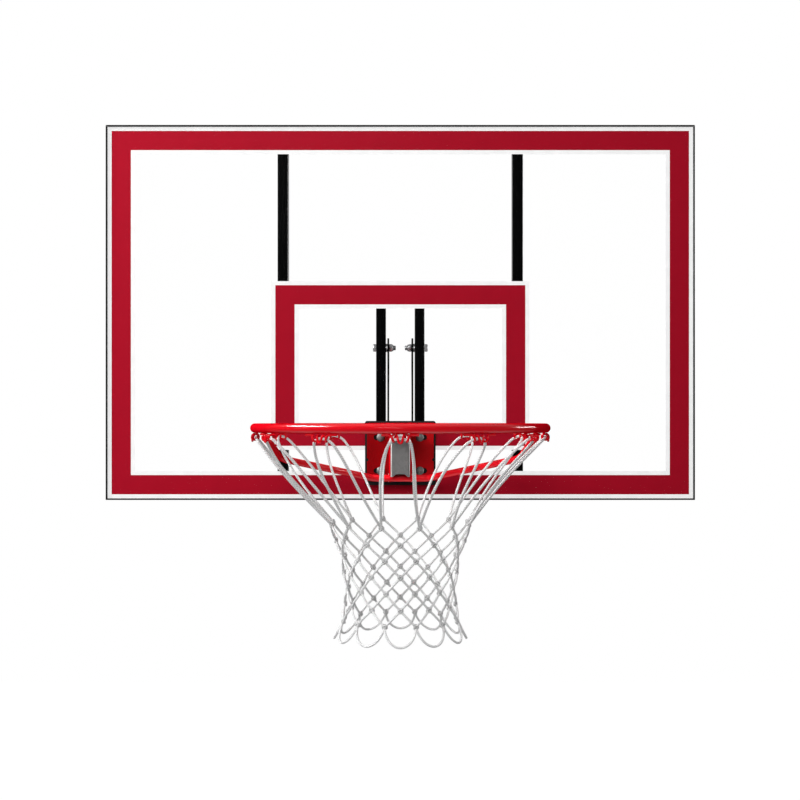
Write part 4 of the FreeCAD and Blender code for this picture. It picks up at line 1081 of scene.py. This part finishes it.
def makeNuts(rimPlaces, mountY, mountHeights):
    profile, flats = nutProfile()
    shells = inwardPairs("mount_lock_nuts", profile, mountY, mountHeights, True, flats=flats)
    addPiece("mountNutsLocking", shells, "board", "zinc_plate", ["mount_lock_nuts"])
    front = nodeBox("rim_lock_nuts")[0][1]
    shells = [(turned(profile, (x, front, z), (0, 1, 0), flats=flats), True) for x, z in rimPlaces]
    addPiece("rimNutsLocking", shells, "board", "zinc_plate", ["rim_lock_nuts"])


makeNuts(makeRimBolts(), *makeMountBolts())
print("bolts and nuts made")


# Spring cover: a folded sheet, a U in plan; its front is longer than its sides and cut away in the middle
coverLook = {
    "wall": 0.0020, "bend": 0.0042, "lip": 0.0020, "lipReach": 0.0140, "notchWidth": 0.0280,
    "notchHeight": 0.0050, "notchSlope": 0.0060, "edge": 0.0004, "bendSteps": 9, "flatSteps": 32,
}


def makeCover():
    look = coverLook
    low, high = nodeBox("spring_cover")
    half = (high[0] - low[0]) / 2
    front, back, edge = low[1], high[1], look["edge"]
    turn = np.linspace(0, math.pi / 2, look["bendSteps"])
    step = front + look["lipReach"]

    def plan(inset):
        # down the left side past the step, round the first bend to the middle of the front, and mirrored back
        radius, side, face = look["bend"] - inset, half - inset, front + inset
        flank = np.array([(-side, back), (-side, step + edge), (-side, step)])
        corner = np.stack([-side + radius * (1 - np.cos(turn)), face + radius * (1 - np.sin(turn))], -1)
        across = np.linspace(-side + radius, 0, look["flatSteps"] + 1)[1:]
        left = np.concatenate([flank, corner, np.stack([across, np.full(len(across), face)], -1)])
        return np.concatenate([left, (left * (-1, 1))[-2::-1]])

    outer, inner = plan(0.0), plan(look["wall"])
    ahead = outer[:, 1] < front + look["wall"] / 2
    notch = np.clip((look["notchWidth"] / 2 - np.abs(outer[:, 0])) / look["notchSlope"], 0, 1)
    floor = low[2] + np.where(ahead, notch * look["notchHeight"], 0.0)
    floor += np.where(outer[:, 1] > step + edge / 2, look["lip"], 0.0)
    top = np.full(len(outer), high[2])
    skin = unit(inner - outer) * edge
    rows = [
        np.concatenate([plane, height[:, None]], 1)
        for plane, height in (
            (outer, floor + edge), (outer, top - edge), (outer + skin, top), (inner - skin, top),
            (inner, top - edge), (inner, floor + edge), (inner - skin, floor), (outer + skin, floor),
        )
    ]
    shells = [(np.stack(rows, 1)[None], False)]
    # the folded cover takes the darker zinc, a painted shade
    addPiece("springCoverFolded", shells, "rim", "zinc_plate", ["spring_cover"], finishes["paintedShadeCoverZinc"])


# Spring: a wire on an even helix round the spring bolt; the real spring shortens as the rim tips, but this
# mesh keeps one length
springLook = {"wire": 0.0046, "radius": 0.0112, "turns": 4.5, "keep": 0.40, "sides": 14, "steps": 181}


def makeSpring():
    look = springLook
    low, high = nodeBox("breakaway_spring")
    washerLow, washerHigh = nodeBox("spring_washer")
    centreZ = (washerLow[2] + washerHigh[2]) / 2
    t = np.linspace(0, 1, look["steps"])
    turn = fullTurn * look["turns"] * t
    start, end = high[1] - look["wire"] / 2, low[1] + look["wire"] / 2
    x = ringCentre[0] + look["radius"] * np.cos(turn)
    y = start + (end - start) * t
    z = centreZ + look["radius"] * np.sin(turn)
    path = np.stack([x, y, z], -1)[None]
    shell = sweepRound(path, look["wire"] / 2, look["sides"], np.array([0.0, 1.0, 0.0]))
    coil = addPiece("springCoil", [(shell, False)], "board", "spring_steel", ["breakaway_spring"])
    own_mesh(coil)


makeCover()
makeSpring()
print("spring and cover made")


# Weld beads: a rippled tube half sunk in the joint it closes
weldLook = {
    "tube": 0.0017,                 # radius of the beads on tubes and cheeks
    "neck": 0.0021,
    "ripple": 0.16,
    "ripplePitch": 0.0022,
    "rippleSteps": 4,
    "leastSteps": 12,
    "closing": 0.96,                # how far a bead narrows at its ends
    "sides": 8,
    "beside": (0.31, 0.53, 0.79),   # no bead runs in line with this
    "panelGap": 0.004,              # frame beads stop this far from the panel's side
    "neckInset": 0.002,
    "neckSteps": 60,
    "cheekInset": (0.004, 0.006),   # at the back and at the front
}


def bead(path, radius):
    # the radius swells and shrinks in small even steps along the path, and closes at both ends
    look = weldLook
    length = lengthAlong(path)[-1]
    even = evenSteps(path, max(look["leastSteps"], int(length / look["ripplePitch"] * look["rippleSteps"])))
    along = np.linspace(0, length, len(even))
    swell = 1 + look["ripple"] * np.abs(np.sin(math.pi * along / look["ripplePitch"]))
    ends = np.clip(np.minimum(along, length - along) / (2 * radius), 0, 1)
    size = radius * swell * np.sqrt(1 - (1 - ends) ** 2 * look["closing"])
    return sweepRound(even[None], size[None], look["sides"], np.array(look["beside"])), False


def makeFrameWelds():
    # round three sides of each tube's ends, leaving the side at the panel clear
    shells = []
    for name, axis in tubeRuns.items():
        low, high = nodeBox(name)
        side = 2 - axis
        front, back = low[1] + weldLook["panelGap"], high[1]
        for end in (low, high):
            route = np.zeros((4, 3))
            route[:, axis] = end[axis]
            route[:, side] = (low[side], low[side], high[side], high[side])
            route[:, 1] = (front, back, back, front)
            shells.append(bead(route, weldLook["tube"]))
    addPiece("frameWelds", shells, "board", "black_powder_coat", [])


def makeRimWelds():
    # neck to ring above and below, and bracket cheeks to neck
    look = weldLook
    shells = []
    neckLow, neckHigh = nodeBox("neck")
    bracketLow, bracketHigh = nodeBox("hinge_bracket")
    thick = neckHigh[2] - neckLow[2]
    r = ringRadius + math.sqrt((ringRod / 2) ** 2 - (thick / 2) ** 2)
    wide = math.asin((neckHigh[0] - look["neckInset"]) / ringRadius)
    arc = np.linspace(math.pi - wide, math.pi + wide, look["neckSteps"])
    for lift in (-thick / 2, thick / 2):
        shells.append(bead(aboutRing((0.0, r, lift), arc), look["neck"]))
    back, front = bracketHigh[1] - look["cheekInset"][0], bracketLow[1] + look["cheekInset"][1]
    for x in (bracketLow[0], bracketHigh[0]):
        shells.append(bead(np.array([(x, back, neckLow[2]), (x, front, neckLow[2])]), look["tube"]))
    addPiece("rimWelds", shells, "rim", "red_powder_coat", [])


makeFrameWelds()
makeRimWelds()
print("welds made")


# Floor, background and light
stageLook = {
    "floorDrop": 3.05,          # the ring hangs at game height above the floor
    "floorReach": 14.0,
    "floorColour": grey(0.86),
    "floorGlow": 0.80,
    "worldLight": 0.24,
    "aim": (0.0, -0.15, 0.05),
    "lamps": {
        "keyLamp": {"place": (-0.5, -4.0, 1.3), "size": (1.2, 1.2), "watts": 74.0},
        "sideLamp": {"place": (-2.4, -1.0, 0.25), "size": (0.5, 1.5), "watts": 13.0},
        "topLamp": {"place": (-1.85, -0.75, 1.55), "size": (0.9, 0.26), "watts": 52.0},
        "leftStrip": {"place": (-1.95, -0.60, 1.40), "size": (1.5, 0.4), "watts": 200.0, "glintOnly": True},
        "rightStrip": {"place": (2.3, 0.35, 0.45), "size": (1.2, 0.6), "watts": 240.0, "glintOnly": True},
        "backLamp": {"place": (1.4, 2.6, 1.7), "size": (1.8, 1.8), "watts": 20.0},
    },
}


def aimed(direction):
    # turns that point a lamp's own minus z along a direction
    x, y, z = unit(np.asarray(direction, float))
    return (math.acos(-z), 0.0, math.atan2(-x, y))


def makeWorld():
    world = bpy.data.worlds.new("studio")
    world.use_nodes = True
    nodes = Nodes(world.node_tree)
    background = nodes.tree.nodes["Background"].inputs
    background["Color"].default_value = grey(1.0)
    nodes.wire(nodes.ranged(nodes.seenRays(), stageLook["worldLight"], 1.0), background["Strength"])
    bpy.context.scene.world = world


def makeFloor():
    look = stageLook
    level = ringCentre[2] - look["floorDrop"]
    mesh = bpy.data.meshes.new("studioFloor")
    corners = [(x, y, level) for x, y in rectangleSigns * look["floorReach"]]
    mesh.from_pydata(corners, [], [(0, 1, 2, 3)])
    floor = addObject("studioFloor", mesh)
    pale = Finish(
        "paleFloor", Base_Color=look["floorColour"], Roughness=0.9, Specular_IOR_Level=0.0,
        Emission_Color=grey(1.0),
    )
    pale.feed("Emission Strength", pale.ranged(pale.seenRays(), 0.0, look["floorGlow"]))
    mesh.materials.append(pale.material)


def makeLamps():
    for name, lamp in stageLook["lamps"].items():
        data = bpy.data.lights.new(name, "AREA")
        data.shape, data.energy = "RECTANGLE", lamp["watts"]
        data.size, data.size_y = lamp["size"]
        light = addObject(name, data)
        light.location = lamp["place"]
        light.rotation_euler = aimed(np.array(stageLook["aim"]) - lamp["place"])
        light.visible_camera = False
        light.visible_diffuse = not lamp.get("glintOnly", False)


bpy.context.scene.view_settings.view_transform = "Standard"
makeWorld()
makeFloor()
makeLamps()
print("stage made")
